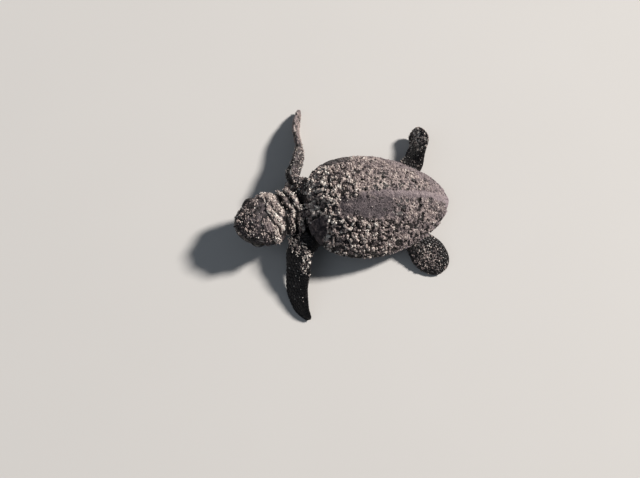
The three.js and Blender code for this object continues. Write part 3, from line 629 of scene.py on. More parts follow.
def bare_shoulder(x, y):
    """The left shoulder of the shell, which the flipper has wiped clean."""
    edge = mix(-15.9, -18.7, ramp(-y, 9.4, 10.6)) + 1.1 * uneven(x, y, 1.6, 51)
    return ramp(edge - x, -0.5, 0.5) * ramp(-y + 0.8 * uneven(x, y, 1.6, 52), 4.2, 5.6)


def bare_margin(x, y):
    """The margin of the shell over the right front flipper."""
    return ramp(y + 0.5 * uneven(x, y, 1.3, 53), 11.7, 12.3) * ramp(-x, 5.5, 9)


# ---------------------------------------------------------------- carapace

SEAM_DEPTH = 0.1
SHOULDER = 0.34
PLATE_RAISE = 0.42
PLATE_TILT = 0.24
PLATE_ROOT = 0.7
KEEL_HEIGHT = 0.85
KEEL_WIDTH = 1.1
SIDE_KEEL_HEIGHT = 0.5
SIDE_KEEL_SHARE = 0.3
NUCHAL_HALF_ANGLE = 0.24
MARGINAL_PAIRS = 12
MARGIN_BREADTH = 6.5
RIM_TOOTH = 0.02
RIM_NOSE = 0.018
RIM_DROOP = 0.32
PLATE_STEP = 0.24


def shell_x(share):
    return SHELL_LENGTH * (share - 0.5)


VERTEBRAL_SEAMS = [shell_x(share) for share in (0.075, 0.225, 0.41, 0.6, 0.78, 0.895)]
VERTEBRAL_SEAM_HALF = [4.4, 4.2, 4.3, 4.1, 3.8, 5.6]
VERTEBRAL_CORNER_HALF = [5.6, 6.4, 6.4, 6.0]
COSTAL_OUTER_X = [shell_x(share) for share in (0.1, 0.15, 0.335, 0.54, 0.735, 0.835)]
LAST_VERTEBRAL = len(VERTEBRAL_SEAMS) - 2


def plate_grid(length, breadth, step=PLATE_STEP):
    """Shares u and v over a plate, about a step apart, and how far each spot lies from its edge."""
    steps = [np.linspace(0, 1, max(int(size / step), 8)) for size in (length, breadth)]
    u, v = np.meshgrid(*steps, indexing="ij")
    return u, v, plate_inset(u, v, length, breadth)


def plate_inset(u, v, length, breadth):
    """How far each spot of a plate lies from its edge, with round corners."""
    along = np.maximum(np.minimum(u, 1 - u) * length, 1e-3)
    across = np.maximum(np.minimum(v, 1 - v) * breadth, 1e-3)
    return (along ** -4 + across ** -4) ** -0.25


def shoulder(inset):
    """Rises from the seam to the level of the plate."""
    return 1 - np.exp(-((inset / SHOULDER) ** 1.7))


def horn_relief(points, inset):
    """Pits and growth lines in the horn."""
    growth = 0.02 * np.sin(TURN * inset / 0.62) * np.exp(-inset / 1.4)
    return growth + 0.045 * field(points, 1.2, 3) + 0.03 * field(points, 0.45, 4)


def add_dome_plate(parts, x, y, u, inset, keel):
    """A plate on the dome, which tilts up to the rear and carries its part of a keel."""
    ground = on_dome(x, y)
    raised = PLATE_RAISE + PLATE_TILT * u + keel + SEAM_DEPTH + horn_relief(ground, inset)
    lift = raised * shoulder(inset) - SEAM_DEPTH
    block = block_between(ground + UP * lift[..., None], ground - UP * PLATE_ROOT)
    parts.add(*block, inset=np.tile(inset.ravel(), 2), dust=shell_dust)


def add_vertebral(parts, index):
    front, rear = VERTEBRAL_SEAMS[index:index + 2]
    front_half, rear_half = VERTEBRAL_SEAM_HALF[index:index + 2]
    is_last = index == LAST_VERTEBRAL
    bulge = 0 if is_last else VERTEBRAL_CORNER_HALF[index] - (front_half + rear_half) / 2
    u, v, inset = plate_grid(rear - front, front_half + rear_half + bulge)
    y = (2 * v - 1) * (mix(front_half, rear_half, u) + bulge * (1 - np.abs(2 * u - 1)))
    start = curve_x(MARGIN_INNER, y, True) if index == 0 else front
    stop = curve_x(MARGIN_INNER, y, False) if is_last else rear
    keel = KEEL_HEIGHT * bell(y, KEEL_WIDTH) * mix(0.55, 1, u)
    add_dome_plate(parts, mix(start, stop, u), y, u, inset, keel)


def add_costal(parts, index, side):
    front, rear = (float(curve_x(MARGIN_INNER, VERTEBRAL_SEAM_HALF[end], end == 0)) for end in (0, -1))
    seams = zip([front, *VERTEBRAL_SEAMS[1:-1], rear], VERTEBRAL_SEAM_HALF)
    middles = [(a + b) / 2 for a, b in zip(VERTEBRAL_SEAMS, VERTEBRAL_SEAMS[1:])]
    edge = sorted([*seams, *zip(middles, VERTEBRAL_CORNER_HALF)])
    inner_x, inner_y = np.transpose(edge[max(2 * index - 1, 0):2 * index + 2])
    length = inner_x[-1] - inner_x[0]
    breadth = float(curve_y(MARGIN_INNER, inner_x[0] + length / 2)) - inner_y[1]
    u, v, inset = plate_grid(length, breadth)
    along = np.linspace(0, 1, len(inner_x))
    outer_x = mix(COSTAL_OUTER_X[index], COSTAL_OUTER_X[index + 1], u)
    x = mix(np.interp(u, along, inner_x), outer_x, v)
    y = side * mix(np.interp(u, along, inner_y), curve_y(MARGIN_INNER, outer_x), v)
    keel = SIDE_KEEL_HEIGHT * bell(v - SIDE_KEEL_SHARE, 0.12) * mix(0.5, 1, u)
    add_dome_plate(parts, x, y, u, inset, 0 if index == 0 else keel)


def add_marginal(parts, start, stop):
    """A plate of the margin wraps the rim from the dome to the underside."""
    size = HALF_WIDTH * abs(stop - start)
    u = shares(max(int(size / PLATE_STEP), 10))
    theta = mix(start, stop, mix(0.5, u, 0.985))
    nose_rho = MARGIN_OUTER + RIM_TOOTH * abs(math.cos(start)) * (u - 0.5) - RIM_NOSE
    over = shares(14).T
    around = np.linspace(0, math.pi, 9)[None, 1:-1]

    inset = plate_inset(u, over * 0.5, size, MARGIN_BREADTH)
    ground = on_dome(*plan_point(mix(MARGIN_INNER, nose_rho, over), theta))
    raised = PLATE_RAISE * 0.8 + SEAM_DEPTH + horn_relief(ground, inset)
    top = ground + UP * (raised * shoulder(inset) - SEAM_DEPTH - RIM_DROOP * over ** 6)[..., None]

    inset_under = plate_inset(u, mix(0.5, 0.05, over), size, MARGIN_BREADTH)
    x, y = plan_point(mix(nose_rho, UNDERSIDE_RHO + 0.03, over), theta)
    bottom = xyz(x, y, carapace_under(x, y) + 0.05 - 0.2 * shoulder(inset_under))

    high, low = top[:, -1:, 2], bottom[:, :1, 2]
    x, y = plan_point(nose_rho + RIM_NOSE * np.sin(around), theta)
    tip = xyz(x, y, (high + low) / 2 + (high - low) / 2 * np.cos(around))
    insets = np.concatenate([inset, inset[:, -1:] + 0 * around, inset_under], axis=1)
    rings = np.concatenate([top, tip, bottom], axis=1)
    parts.add(*over_rings(rings), inset=np.append(insets, [0, 0]), dust=shell_dust)


def make_carapace():
    bed, vertebrals, costals, marginals = Parts(), Parts(), Parts(), Parts()
    for index in range(LAST_VERTEBRAL + 1):
        add_vertebral(vertebrals, index)
        for side in SIDES:
            add_costal(costals, index, side)
    front = math.pi - NUCHAL_HALF_ANGLE
    add_marginal(marginals, front, math.pi + NUCHAL_HALF_ANGLE)
    step = front / MARGINAL_PAIRS
    for pair in range(MARGINAL_PAIRS):
        for side in SIDES:
            add_marginal(marginals, side * (front - pair * step), side * (front - pair * step - step))
    over = plan_rings(np.linspace(0.03, 1, 44), 160, lambda x, y: carapace_top(x, y) - 0.02)
    under = plan_rings(np.linspace(1, 0.1, 30), 160, carapace_under)
    bed.add(*over_rings(np.concatenate([over, under])), dust=lambda points: 0.9 * shell_dust(points))
    return [
        bed.piece("shell_bed", SEAM_HORN),
        vertebrals.piece("vertebral_plates", SHELL_HORN),
        costals.piece("costal_plates", SHELL_HORN),
        marginals.piece("marginal_plates", SHELL_HORN),
    ]


# ---------------------------------------------------------------- plastron

PLASTRON_FRONT = -19
PLASTRON_REAR = 15.6
PLASTRON_MIDDLE = (PLASTRON_FRONT + PLASTRON_REAR) / 2
PLASTRON_HALF = 13.6
LOBE_HALF = 9.6
LOBE_LENGTH = 18.6
BELLY_Z = 0.35
PLASTRON_THICKNESS = 1.9
BRIDGE_EDGE = 1.1
PLASTRON_SEAMS = [-18.6, -15.6, -11.2, -4.8, 2.4, 8.6, 15.2]
BELLY_HALF = 8.8
BRIDGE_SEAMS = [-7.6, -2.4, 2.6, 7]
RIDGE_Y = 4.6
RIDGE_HEIGHT = 0.15
BELLY_RAISE = 0.18
BELLY_SEAM = 0.04
BELLY_DUST = 0.42


def bridge_share(x):
    return ramp(x, -11, -7.6) * (1 - ramp(x, 6.6, 10))


def plastron_half(x):
    lobe = LOBE_HALF * np.sqrt(1 - (np.abs(x - PLASTRON_MIDDLE) / LOBE_LENGTH) ** 3)
    return mix(lobe, PLASTRON_HALF, bridge_share(x))


def plastron_up(x, share):
    lobe = 0.8 * (np.abs(x - PLASTRON_MIDDLE) / 17.3) ** 4
    edge = mix(0.6, rim_z(x) - RIM_THICKNESS - 0.5 - BELLY_Z - PLASTRON_THICKNESS, bridge_share(x))
    return lobe + edge * ramp(np.abs(share), 0.55, 1)


def plastron_bottom(x, share):
    thin = (PLASTRON_THICKNESS - BRIDGE_EDGE) * ramp(np.abs(share), 0.8, 1)
    return BELLY_Z + plastron_up(x, share) + thin


def add_belly_plate(parts, front, rear, inner_y, outer_y, side):
    u, v, inset = plate_grid(rear - front, outer_y - inner_y)
    x = mix(front, rear, u)
    y = mix(inner_y, np.minimum(outer_y, plastron_half(x) - 0.05), v)
    z = plastron_bottom(x, y / plastron_half(x))
    ridge = RIDGE_HEIGHT * bell(y - RIDGE_Y, 1)
    relief = horn_relief(xyz(x, side * y, z), inset)
    drop = (BELLY_RAISE + BELLY_SEAM + ridge + 0.5 * relief) * shoulder(inset) - BELLY_SEAM
    block = block_between(xyz(x, side * y, np.maximum(z - drop, 0)), xyz(x, side * y, z + PLATE_ROOT))
    parts.add(*block, inset=np.tile(inset.ravel(), 2), dust=BELLY_DUST)


def make_plastron():
    bed, plates = Parts(), Parts()
    for side in SIDES:
        for seams, edges in ((PLASTRON_SEAMS, (0, BELLY_HALF)), (BRIDGE_SEAMS, (BELLY_HALF, PLASTRON_HALF))):
            for front, rear in zip(seams, seams[1:]):
                add_belly_plate(plates, front, rear, *edges, side)
    share = np.concatenate([np.linspace(-1, 1, 49), np.linspace(1, -1, 49)])[None, :]
    upper = (np.arange(98) >= 49)[None, :]
    x = np.linspace(PLASTRON_FRONT, PLASTRON_REAR, 90)[:, None]
    rounding = np.sqrt(1 - (np.abs(x - PLASTRON_MIDDLE) / (PLASTRON_REAR - PLASTRON_MIDDLE)) ** 24 * 0.8)
    top = BELLY_Z + PLASTRON_THICKNESS + plastron_up(x, share)
    bottom = plastron_bottom(x, share)
    middle = (top + bottom) / 2
    z = middle + (np.where(upper, top, bottom) - middle) * rounding
    bed.add(*over_rings(xyz(x, share * plastron_half(x) * rounding, z)), inset=0.3, dust=BELLY_DUST)
    return [bed.piece("plastron_bed", BELLY_HORN), plates.piece("plastron_plates", BELLY_HORN)]


# ---------------------------------------------------------------- limbs


def smooth_path(waypoints, samples=400):
    """Points at equal steps along the centripetal curve through the waypoints."""
    knots = np.array(waypoints, float)
    knots = np.vstack([2 * knots[0] - knots[1], knots, 2 * knots[-1] - knots[-2]])
    s = shares(60)
    curve = []
    for spots in zip(knots, knots[1:], knots[2:], knots[3:]):
        before, start, stop, after = spots
        gap_a, gap, gap_b = (np.linalg.norm(b - a) ** 0.5 for a, b in zip(spots, spots[1:]))
        leave = (start - before) / gap_a - (stop - before) / (gap_a + gap) + (stop - start) / gap
        arrive = (stop - start) / gap - (after - start) / (gap + gap_b) + (after - stop) / gap_b
        ends = (2 * s ** 3 - 3 * s ** 2 + 1) * start + (3 * s ** 2 - 2 * s ** 3) * stop
        curve.append(ends + gap * ((s ** 3 - 2 * s ** 2 + s) * leave + (s ** 3 - s ** 2) * arrive))
    curve = np.concatenate(curve)
    reach = np.append(0, np.cumsum(np.linalg.norm(np.diff(curve, axis=0), axis=1)))
    steps = np.linspace(0, reach[-1], samples)
    return np.stack([np.interp(steps, reach, line) for line in curve.T], axis=1)


class Limb:
    """A tapering body along a smooth path; section gives its reach, thickness and thinning at a share t."""

    def __init__(self, waypoints, lead, section, start=0.0):
        self.path = smooth_path(waypoints)
        self.forward = unit(np.gradient(self.path, axis=0))
        self.length = np.sum(np.linalg.norm(np.diff(self.path, axis=0), axis=1))
        self.lead = lead
        self.section = section
        self.start = start

    def frame_at(self, t):
        """The centre of the section at t, and its forward, chord and normal directions."""
        spot = np.clip(t, 0, 1) * (len(self.path) - 1)
        low = np.minimum(spot.astype(int), len(self.path) - 2)
        part = (spot - low)[..., None]
        centre = mix(self.path[low], self.path[low + 1], part)
        forward = unit(mix(self.forward[low], self.forward[low + 1], part))
        lead = self.lead(t)
        chord = unit(lead - forward * dot(lead, forward))
        return centre, forward, chord, np.cross(forward, chord)

    def surface(self, t, angle, out=0.0):
        """A point of the surface, lifted by out; the angle is 0 at the leading edge."""
        t, angle, out = np.broadcast_arrays(np.asarray(t, float), angle, out)
        centre, _, chord, normal = self.frame_at(t)
        reach, thickness, thinning = self.section(t)
        cos, sin = np.cos(angle), np.sin(angle)
        half = 0.5 * thickness * (1 - thinning * (0.5 - 0.5 * cos))
        away = unit(np.stack([cos / reach, sin / half], -1))
        across = cos * reach + out * away[..., 0]
        return centre + chord * across[..., None] + normal * (sin * half + out * away[..., 1])[..., None]

    def closed(self, stations=70, sides=56):
        return over_rings(self.surface(1 - (1 - shares(stations)) ** 1.25, circle(sides)))

    def unwrapped(self, points):
        """The share t and the share around of points near the surface."""
        nearest = np.argmin(np.sum((points[:, None] - self.path[::4]) ** 2, axis=-1), axis=1)
        t = 4 * nearest / (len(self.path) - 1)
        centre, _, chord, normal = self.frame_at(t)
        away = points - centre
        reach, thickness, _ = self.section(t)
        across = np.sum(away * chord, -1) / reach
        lift = np.sum(away * normal, -1) / (0.5 * thickness)
        return t, (np.arctan2(lift, across) / TURN) % 1


def turning(first, last, start, stop):
    """A direction that turns from one to another between two shares of a path."""
    a, b = unit(np.array(first, float)), unit(np.array(last, float))

    def lead(t):
        return unit(mix(a, b, ramp(t, start, stop)[..., None]))
    return lead


def tip_round(t, start, power):
    """1 up to the start, and from there rounded off to the tip."""
    return np.sqrt(1 - np.clip((t - start) / (1 - start), 0, 0.985) ** power)


def front_section(root_chord):
    def section(t):
        chord = mix(root_chord, FRONT_FLIPPER_CHORD, ramp(t, 0.1, 0.55)) * tip_round(t, 0.5, 1.9)
        thickness = mix(4.6, 1.3, ramp(t, 0, 0.9)) * tip_round(t, 0.8, 2.6)
        return 0.5 * chord, thickness, 0.45 * ramp(t, 0.1, 0.6)
    return section


def hind_section(t):
    chord = mix(5.4, HIND_FLIPPER_CHORD, ramp(t, 0.15, 0.7)) * tip_round(t, 0.62, 2.4)
    thickness = mix(4.4, 1.4, ramp(t, 0, 0.9)) * tip_round(t, 0.85, 2.6)
    return 0.5 * chord, thickness, 0.4 * ramp(t, 0.2, 0.7)


FLIPPERS = {
    "front_right": Limb(
        [[-13, 5.5, 6.4], [-20.8, 8.3, 7.2], [-25.0, 11.2, 7.2], [-23.7, 14.8, 6.5],
         [-21.8, 20.9, 5.0], [-22.4, 28.2, 3.2], [-20.6, 36.6, 1.1]],
        turning([-0.7, -0.3, 0.75], [-0.15, 0.1, 1], 0.1, 0.45), front_section(7.4), 0.25),
    "front_left": Limb(
        [[-13, -5.5, 6.4], [-20.8, -8.8, 7.6], [-25.2, -12.4, 7.6], [-26.1, -17.6, 5.4],
         [-27.1, -23, 3.4], [-26.2, -29, 1.7], [-24.1, -32.6, 0.7]],
        turning([-0.75, 0.55, 0.45], [-0.72, 0.18, -0.66], 0.2, 0.5), front_section(5.6), 0.25),
    "hind_right": Limb(
        [[8, 6, 4], [11.7, 11.4, 4.3], [14.6, 16.6, 4.3], [15.9, 20.6, 3.6], [14.6, 24.8, 2.4]],
        turning([-1, 0.2, 0.2], [-0.5, 0.1, -0.85], 0.2, 0.6), hind_section, 0.3),
    "hind_left": Limb(
        [[6, -4, 4], [10, -10, 3.8], [13, -14.2, 2.7], [16, -18.2, 1.7], [18.2, -22, 0.8]],
        turning([-1, -0.3, 0.2], [-0.92, -0.36, -0.1], 0.2, 0.6), hind_section, 0.3),
}
CLAWS = {
    "front_right": [(0.52, 1.7, 0.5), (0.68, 1.1, 0.36)],
    "front_left": [(0.56, 1.7, 0.5), (0.72, 1.1, 0.36)],
    "hind_right": [(0.62, 1.3, 0.42), (0.78, 0.9, 0.32)],
    "hind_left": [(0.62, 1.3, 0.42), (0.78, 0.9, 0.32)],
}

NECK_WIDTH = 14.2
NECK_HEIGHT = 9
FOLD_CENTRES = [0.55, 0.71]


def sideways(t):
    return np.broadcast_to(np.array([0.0, 1.0, 0.0]), (*np.shape(t), 3))


def neck_section(t):
    fold = sum(bell(t - centre, 0.055) for centre in FOLD_CENTRES)
    swell = mix(0.86, 1, ramp(t, 0.2, 0.55)) * (0.94 + 0.085 * fold)
    return 0.5 * NECK_WIDTH * swell, NECK_HEIGHT * swell, 0 * t


def tail_section(t):
    girth = mix(5.2, 0.9, t ** 0.8)
    return 0.5 * girth, 0.74 * girth, 0 * t


NECK = Limb(
    [[-13, 0, 6], [-20, 0.3, 6.7], [-24.2, 0.6, 8.1], [-27.6, -0.1, 9.1], [-31, -1.6, 9.6]],
    sideways, neck_section, 0.4)
TAIL = Limb([[10, 0, 3.6], [14.6, 0, 3], [19, 0.2, 2.1], [23.2, 0.5, 1.5]], sideways, tail_section, 0.5)

# ---------------------------------------------------------------- folds

COLLAR_LINE = -27.5
FOLD_LINE = -24.6
SHELL_LINE = -20.9


def fold_line(x, y):
    """A coordinate that runs back over the neck, square to its folds, which bow to the head."""
    return x + 0.195 * (y + 1) + 0.345 * np.sqrt((y + 1) ** 2 + 1)


def creases(x, y, widen=1.0):
    """How deep the creases behind the head and between the folds of the neck are."""
    line = fold_line(x, y) + 0.25 * np.sin(1.3 * y)
    deep = 1.1 * bell(line - COLLAR_LINE, 0.65 * widen) + 0.7 * bell(line - FOLD_LINE, 0.5 * widen)
    return deep + 1.1 * bell(line - SHELL_LINE, 0.9 * widen)


def fold_depth(points):
    """How far the skin of the head and neck is pressed in at each point."""
    x, y, z = np.moveaxis(points, -1, 0)
    return creases(x, y) * ramp(z, 3, 7) * ramp(x, -31, -29.5) * (1 - ramp(np.abs(y - 0.5), 7.5, 9))


def creased(surface):
    """A surface with the creases pressed in."""
    def pressed(t, angle, out=0.0):
        return surface(t, angle, out - fold_depth(surface(t, angle)))
    return pressed


# ---------------------------------------------------------------- head

HEAD_WIDEST = 0.36
HEAD_TOP = 5.6
HEAD_BOTTOM = 4.9
HEAD_SQUARENESS = 0.86
EYE_SHARE = 0.63
EYE_LIFT = 1.1
EYE_SUNK = 1.5
EYE_FRONT = 1.6
CORNEA_RISE = 0.12
MOUTH_CORNER_X = 9.07
MOUTH_Z = -0.8
MOUTH_SLOPE = 0.09

HEAD_FORWARD = np.array([
    -math.cos(HEAD_TURN) * math.cos(HEAD_LIFT),
    -math.sin(HEAD_TURN) * math.cos(HEAD_LIFT),
    math.sin(HEAD_LIFT),
])
HEAD_LEFT = np.array([math.sin(HEAD_TURN), -math.cos(HEAD_TURN), 0])
HEAD_AXES = np.stack([HEAD_FORWARD, HEAD_LEFT, np.cross(-HEAD_LEFT, HEAD_FORWARD)])


def out_of_head(points):
    """Carries points of the head's own frame to the turtle's."""
    return points @ HEAD_AXES + HEAD_REAR


def into_head(points):
    return (points - HEAD_REAR) @ HEAD_AXES.T


def head_reach(t, full, behind, snout):
    rear = full * (1 - behind * (np.maximum(HEAD_WIDEST - t, 0) / HEAD_WIDEST) ** 2)
    front = full * (1 - (np.maximum(t - HEAD_WIDEST, 0) / (1 - HEAD_WIDEST)) ** snout) ** 0.56
    return np.where(t < HEAD_WIDEST, rear, front)


def head_half_width(t):
    return head_reach(t, HEAD_WIDTH / 2, 0.34, 2.1)


def head_bottom(t):
    return head_reach(t, HEAD_BOTTOM, 0.16, 2.9)


def mouth_z(x):
    return MOUTH_Z - MOUTH_SLOPE * (x - MOUTH_CORNER_X)


def mouth_angle(t):
    """The angle at which the mouth line lies, or pi where the snout's tip is all above it."""
    depth = -mouth_z(HEAD_LENGTH * t) / np.maximum(head_bottom(t), 1e-6)
    return np.pi - np.arccos(np.clip(depth, 0, 1) ** (1 / HEAD_SQUARENESS))


def face_relief(t, angle):
    """The brows, the hollows in front of the eyes, and the chin, which stands back from the beak."""
    across = np.abs((angle + math.pi) % TURN - math.pi)
    brow = 0.3 * bell(t - 0.6, 0.1) * bell(across - 0.85, 0.22)
    hollow = 0.45 * bell(t - 0.8, 0.06) * bell(across - 1.15, 0.3)
    chin = 0.45 * ramp(t, 0.7, 0.92) * ramp(across - mouth_angle(t), 0, 0.14)
    return brow - hollow - chin


def head_local(t, angle, out=0.0):
    """A point of the head in its own frame; the angle is 0 at the crown and grows to the left."""
    t, angle, out = np.broadcast_arrays(np.asarray(t, float), angle, out)
    out = out + face_relief(t, angle)
    side, up = np.sin(angle), np.cos(angle)
    height = np.where(up > 0, head_reach(t, HEAD_TOP, 0.18, 2.3), head_bottom(t))
    return xyz(
        HEAD_LENGTH * t + out * np.maximum(t - 0.75, 0) * 2,
        signed_power(side, HEAD_SQUARENESS) * (head_half_width(t) + out),
        signed_power(up, HEAD_SQUARENESS) * (height + out),
    )


def head_surface(t, angle, out=0.0):
    return out_of_head(head_local(t, angle, out))


def eye_axis(side):
    return unit(np.array([0.32, side, 0.22]))


def eye_centre(side):
    width = float(head_half_width(np.array(EYE_SHARE)))
    return np.array([HEAD_LENGTH * EYE_SHARE, side * (width - EYE_SUNK), EYE_LIFT])


def from_eye(local, side):
    """How far points of the head's own frame lie from the front of an eye."""
    return np.linalg.norm(local - eye_centre(side) - EYE_FRONT * eye_axis(side), axis=-1)


def eye_ball(side, radius, tilt, turn):
    """Points round the centre of an eye, at a tilt from its axis and a turn about it."""
    axis = eye_axis(side)
    up = unit(UP - axis * axis[2])
    forward = np.cross(up, axis) * np.sign(np.cross(up, axis)[0])
    out = radius * np.sin(tilt)
    reaches = (radius * np.cos(tilt) + 0 * turn, out * np.cos(turn), out * np.sin(turn))
    local = sum(way * reach[..., None] for way, reach in zip((axis, forward, up), reaches))
    return out_of_head(local + eye_centre(side))


def make_eye(name, side):
    tilt = np.linspace(0.02, math.pi - 0.02, 40)[:, None]
    rings = eye_ball(side, EYE_RADIUS + CORNEA_RISE * bell(tilt, 0.55), tilt, circle(56))
    eye = Parts()
    eye.add(*over_rings(rings), reach=np.append(np.repeat(tilt.ravel() / (math.pi / 2), 56), [0, 2]))
    return eye.piece(name, EYE)


def add_lids(parts, side):
    """Thick lids with rolled edges round an almond opening, and wrinkles that follow it."""
    turn, share = circle(72), shares(26)
    opening_long, opening_up, opening_down = 0.82, 0.42, 0.50
    tall = np.where(np.sin(turn) > 0, opening_up, opening_down)
    opening = 1 / np.sqrt((np.cos(turn) / opening_long) ** 2 + (np.sin(turn) / tall) ** 2)
    tilt = mix(opening * (1 + 0.10 * np.abs(np.cos(turn)) ** 6), 1.62, share)
    rolled = 0.22 * np.sin(np.clip(share / 0.16, 0, 1) * math.pi / 2) ** 0.6
    wrinkle = 0.07 * np.sin(TURN * share * 4.2) * ramp(share, 0.12, 0.25) * (1 - ramp(share, 0.7, 1))
    outer = EYE_RADIUS + 0.02 + rolled + wrinkle - 0.25 * ramp(share, 0.5, 1)
    inner = np.minimum(outer - 0.04, EYE_RADIUS - 0.25 * share)
    loop = np.concatenate([eye_ball(side, outer, tilt, turn), eye_ball(side, inner, tilt, turn)[::-1]])
    index = ring_index(*loop.shape[:2])
    parts.add(loop.reshape(-1, 3), [quads(np.vstack([index, index[:1]]))], dust=0.22, tone=0.45)


def add_shield(parts, start_t, stop_t, start_degrees, stop_degrees, rise=0.24):
    """A horny shield of the head between two shares of its length and two angles."""
    start, stop = math.radians(start_degrees), math.radians(stop_degrees)
    length, breadth = HEAD_LENGTH * (stop_t - start_t), HEAD_TOP * abs(stop - start) * 1.1
    u, v, inset = plate_grid(length, breadth, 0.16)
    t, angle = mix(start_t, stop_t, u), mix(start, stop, v)
    surface = creased(head_surface)
    lift = (rise + 0.06 + 0.6 * horn_relief(surface(t, angle), inset)) * shoulder(inset * 1.3) - 0.06
    tone = 0.35 + 0.3 * abs(math.sin(37 * start_t + 11 * start))
    parts.add(*block_between(surface(t, angle, lift), surface(t, angle, -0.5)), tone=tone, dust=head_dust)


def smooth_crown(x, y):
    """The patch on the crown that has dust but no sand."""
    return bell(from_line(x, y, (-35.6, 0.1), (-35.2, -2.4)), 1.6)


def head_dust(points):
    # Less dust in the creases, so that they read dark: painted shade.
    return 0.2 + 0.22 * smooth_crown(*plan(points)) + 0.12 * field(points, 1.6, 58) - fold_depth(points)


def make_shields():
    shields = Parts()
    add_shield(shields, 0.52, 0.63, -17, 17)
    add_shield(shields, 0.3, 0.51, -27, 27)
    add_shield(shields, 0.12, 0.29, -8, 8)
    for side in SIDES:
        add_shield(shields, 0.78, 0.9, 2 * side, 34 * side)
        add_shield(shields, 0.64, 0.77, 2 * side, 30 * side)
        add_shield(shields, 0.5, 0.66, 21 * side, 44 * side)
        add_shield(shields, 0.12, 0.29, 10 * side, 44 * side)
        add_shield(shields, 0.31, 0.48, 31 * side, 60 * side)
        add_shield(shields, 0.14, 0.29, 47 * side, 80 * side)
        add_shield(shields, 0.32, 0.45, 64 * side, 96 * side)
    return shields.piece("head_shields", SCALES)


def make_beak():
    """The upper and lower horny jaws, which meet along the mouth line."""
    share = shares(44)
    pieces = []
    for name in ("beak_upper", "beak_lower"):
        is_upper = name == "beak_upper"
        w = np.linspace(-1, 1, 121 if is_upper else 81)[None, :]
        if is_upper:
            edge_t = 0.958 - 0.35 * np.abs(w) ** 2.4
            t = mix(edge_t, 0.993, 1 - (1 - share) ** 1.4)
            angle = w * (mouth_angle(t) - 0.012)
        else:
            edge_t = 0.60 + 0.17 * (1 - np.abs(w) ** 2)
            t = mix(edge_t, 0.972, 1 - (1 - share) ** 1.3)
            angle = math.pi + w * (math.pi - mouth_angle(t) - 0.012)
        from_rear = (t - edge_t) * HEAD_LENGTH
        from_mouth = (1 - np.abs(w)) * 6
        lift = 0.3 * shoulder(from_rear * 0.8) * (0.35 + 0.65 * shoulder(from_mouth)) - 0.03
        jaw = Parts()
        jaw.add(*block_between(head_surface(t, angle, lift), head_surface(t, angle, -0.45)), dust=0.16)
        if is_upper:
            add_egg_tooth(jaw)
        pieces.append(jaw.piece(name, BEAK_HORN))
    return pieces


def add_egg_tooth(parts):
    share, turn = shares(9), circle(16)
    girth = 0.42 * np.sqrt(1 - 0.97 * share ** 1.6)
    x = HEAD_LENGTH * 0.975 + 0.95 * share
    rings = xyz(x, girth * np.cos(turn), 1.1 + girth * np.sin(turn) + 0.12 * share ** 2)
    parts.add(*over_rings(out_of_head(rings)), dust=0.2)


# ---------------------------------------------------------------- skin

SKIN_VOXEL = 0.28
SKIN_SMOOTHING = 6
SKIN_CLEAR = 0.12
NECK_BEFORE = -20.5
NECK_HALF = 8.2


def trunk_rings():
    """The trunk fills the room between the two halves of the shell."""
    roof = plan_rings(np.linspace(0.1, 0.82, 16), 96, lambda x, y: carapace_under(x, y) - 0.3)
    belly = plan_rings(np.linspace(0.82, 0.1, 16), 96, lambda x, y: 1.5 + 2.4 * plan_rho(x, y) ** 2)
    return np.concatenate([roof, belly])


def shoulder_fold(side):
    """The loose skin between the neck and the root of a front flipper."""
    path = [[-15, side * 5, 6.4], [-20, side * 6.8, 6.4], [-24, side * 8.2, 6.6], [-28, side * 8.6, 6.6]]
    return Limb(path, sideways, lambda t: (2.6 * tip_round(t, 0.7, 2), 5 * tip_round(t, 0.7, 2), 0 * t))


def head_rings():
    return head_surface(0.994 * (1 - (1 - shares(60)) ** 1.5), circle(96))


def tucked(points):
    """Keeps flesh under the shell, over the plastron and off the floor."""
    x, y, z = points.T
    rho = plan_rho(x, y)
    ceiling = carapace_under(x, y) - SKIN_CLEAR + 30 * np.maximum(rho - 1.0, 0)
    near_x = np.clip(x, PLASTRON_FRONT, PLASTRON_REAR)
    half = plastron_half(near_x)
    outside = np.maximum(np.abs(y) - half, np.maximum(PLASTRON_FRONT - x, x - PLASTRON_REAR))
    ground = plastron_bottom(near_x, np.clip(y / half, -1, 1)) + 0.5 - 6 * np.maximum(outside, 0)
    z = np.minimum(z, np.where(rho < 1.3, ceiling, 99))
    return xyz(x, y, np.maximum(np.maximum(z, ground), 0.03))


def head_carving(points):
    """How far the skin of the head sinks in: the mouth line, the nostrils and the eye sockets."""
    local = into_head(points)
    along_mouth = ramp(local[:, 0], MOUTH_CORNER_X - 1.2, MOUTH_CORNER_X + 0.6)
    sunk = 0.5 * bell(local[:, 2] - mouth_z(local[:, 0]), 0.2) * along_mouth
    for side in SIDES:
        nostril = head_local(0.94, side * 0.42)
        sunk = sunk + 0.6 * bell(np.linalg.norm(local - nostril, axis=1), 0.36)
        sunk = sunk + 0.8 * bell(from_eye(local, side), 1.7)
    return sunk


def region_of(points):
    """Which part of the body each point of the skin belongs to: a name in SKIN_DUST."""
    x, y, z = points.T
    local = into_head(points)
    labels = np.full(len(points), "trunk", dtype=object)
    labels[(x < NECK_BEFORE) & (np.abs(y) < NECK_HALF)] = "neck"
    for name in FLIPPERS:
        side = 1 if name.endswith("right") else -1
        in_front = (x < -16) & (side * y > NECK_HALF)
        labels[in_front if name.startswith("front") else (x > 6) & (side * y > 9)] = name
    labels[(x > 16) & (np.abs(y) < 3)] = "tail"
    labels[(local[:, 0] > 0.4) & (np.abs(local[:, 1]) < 9) & (z > 3.2)] = "head"
    return labels
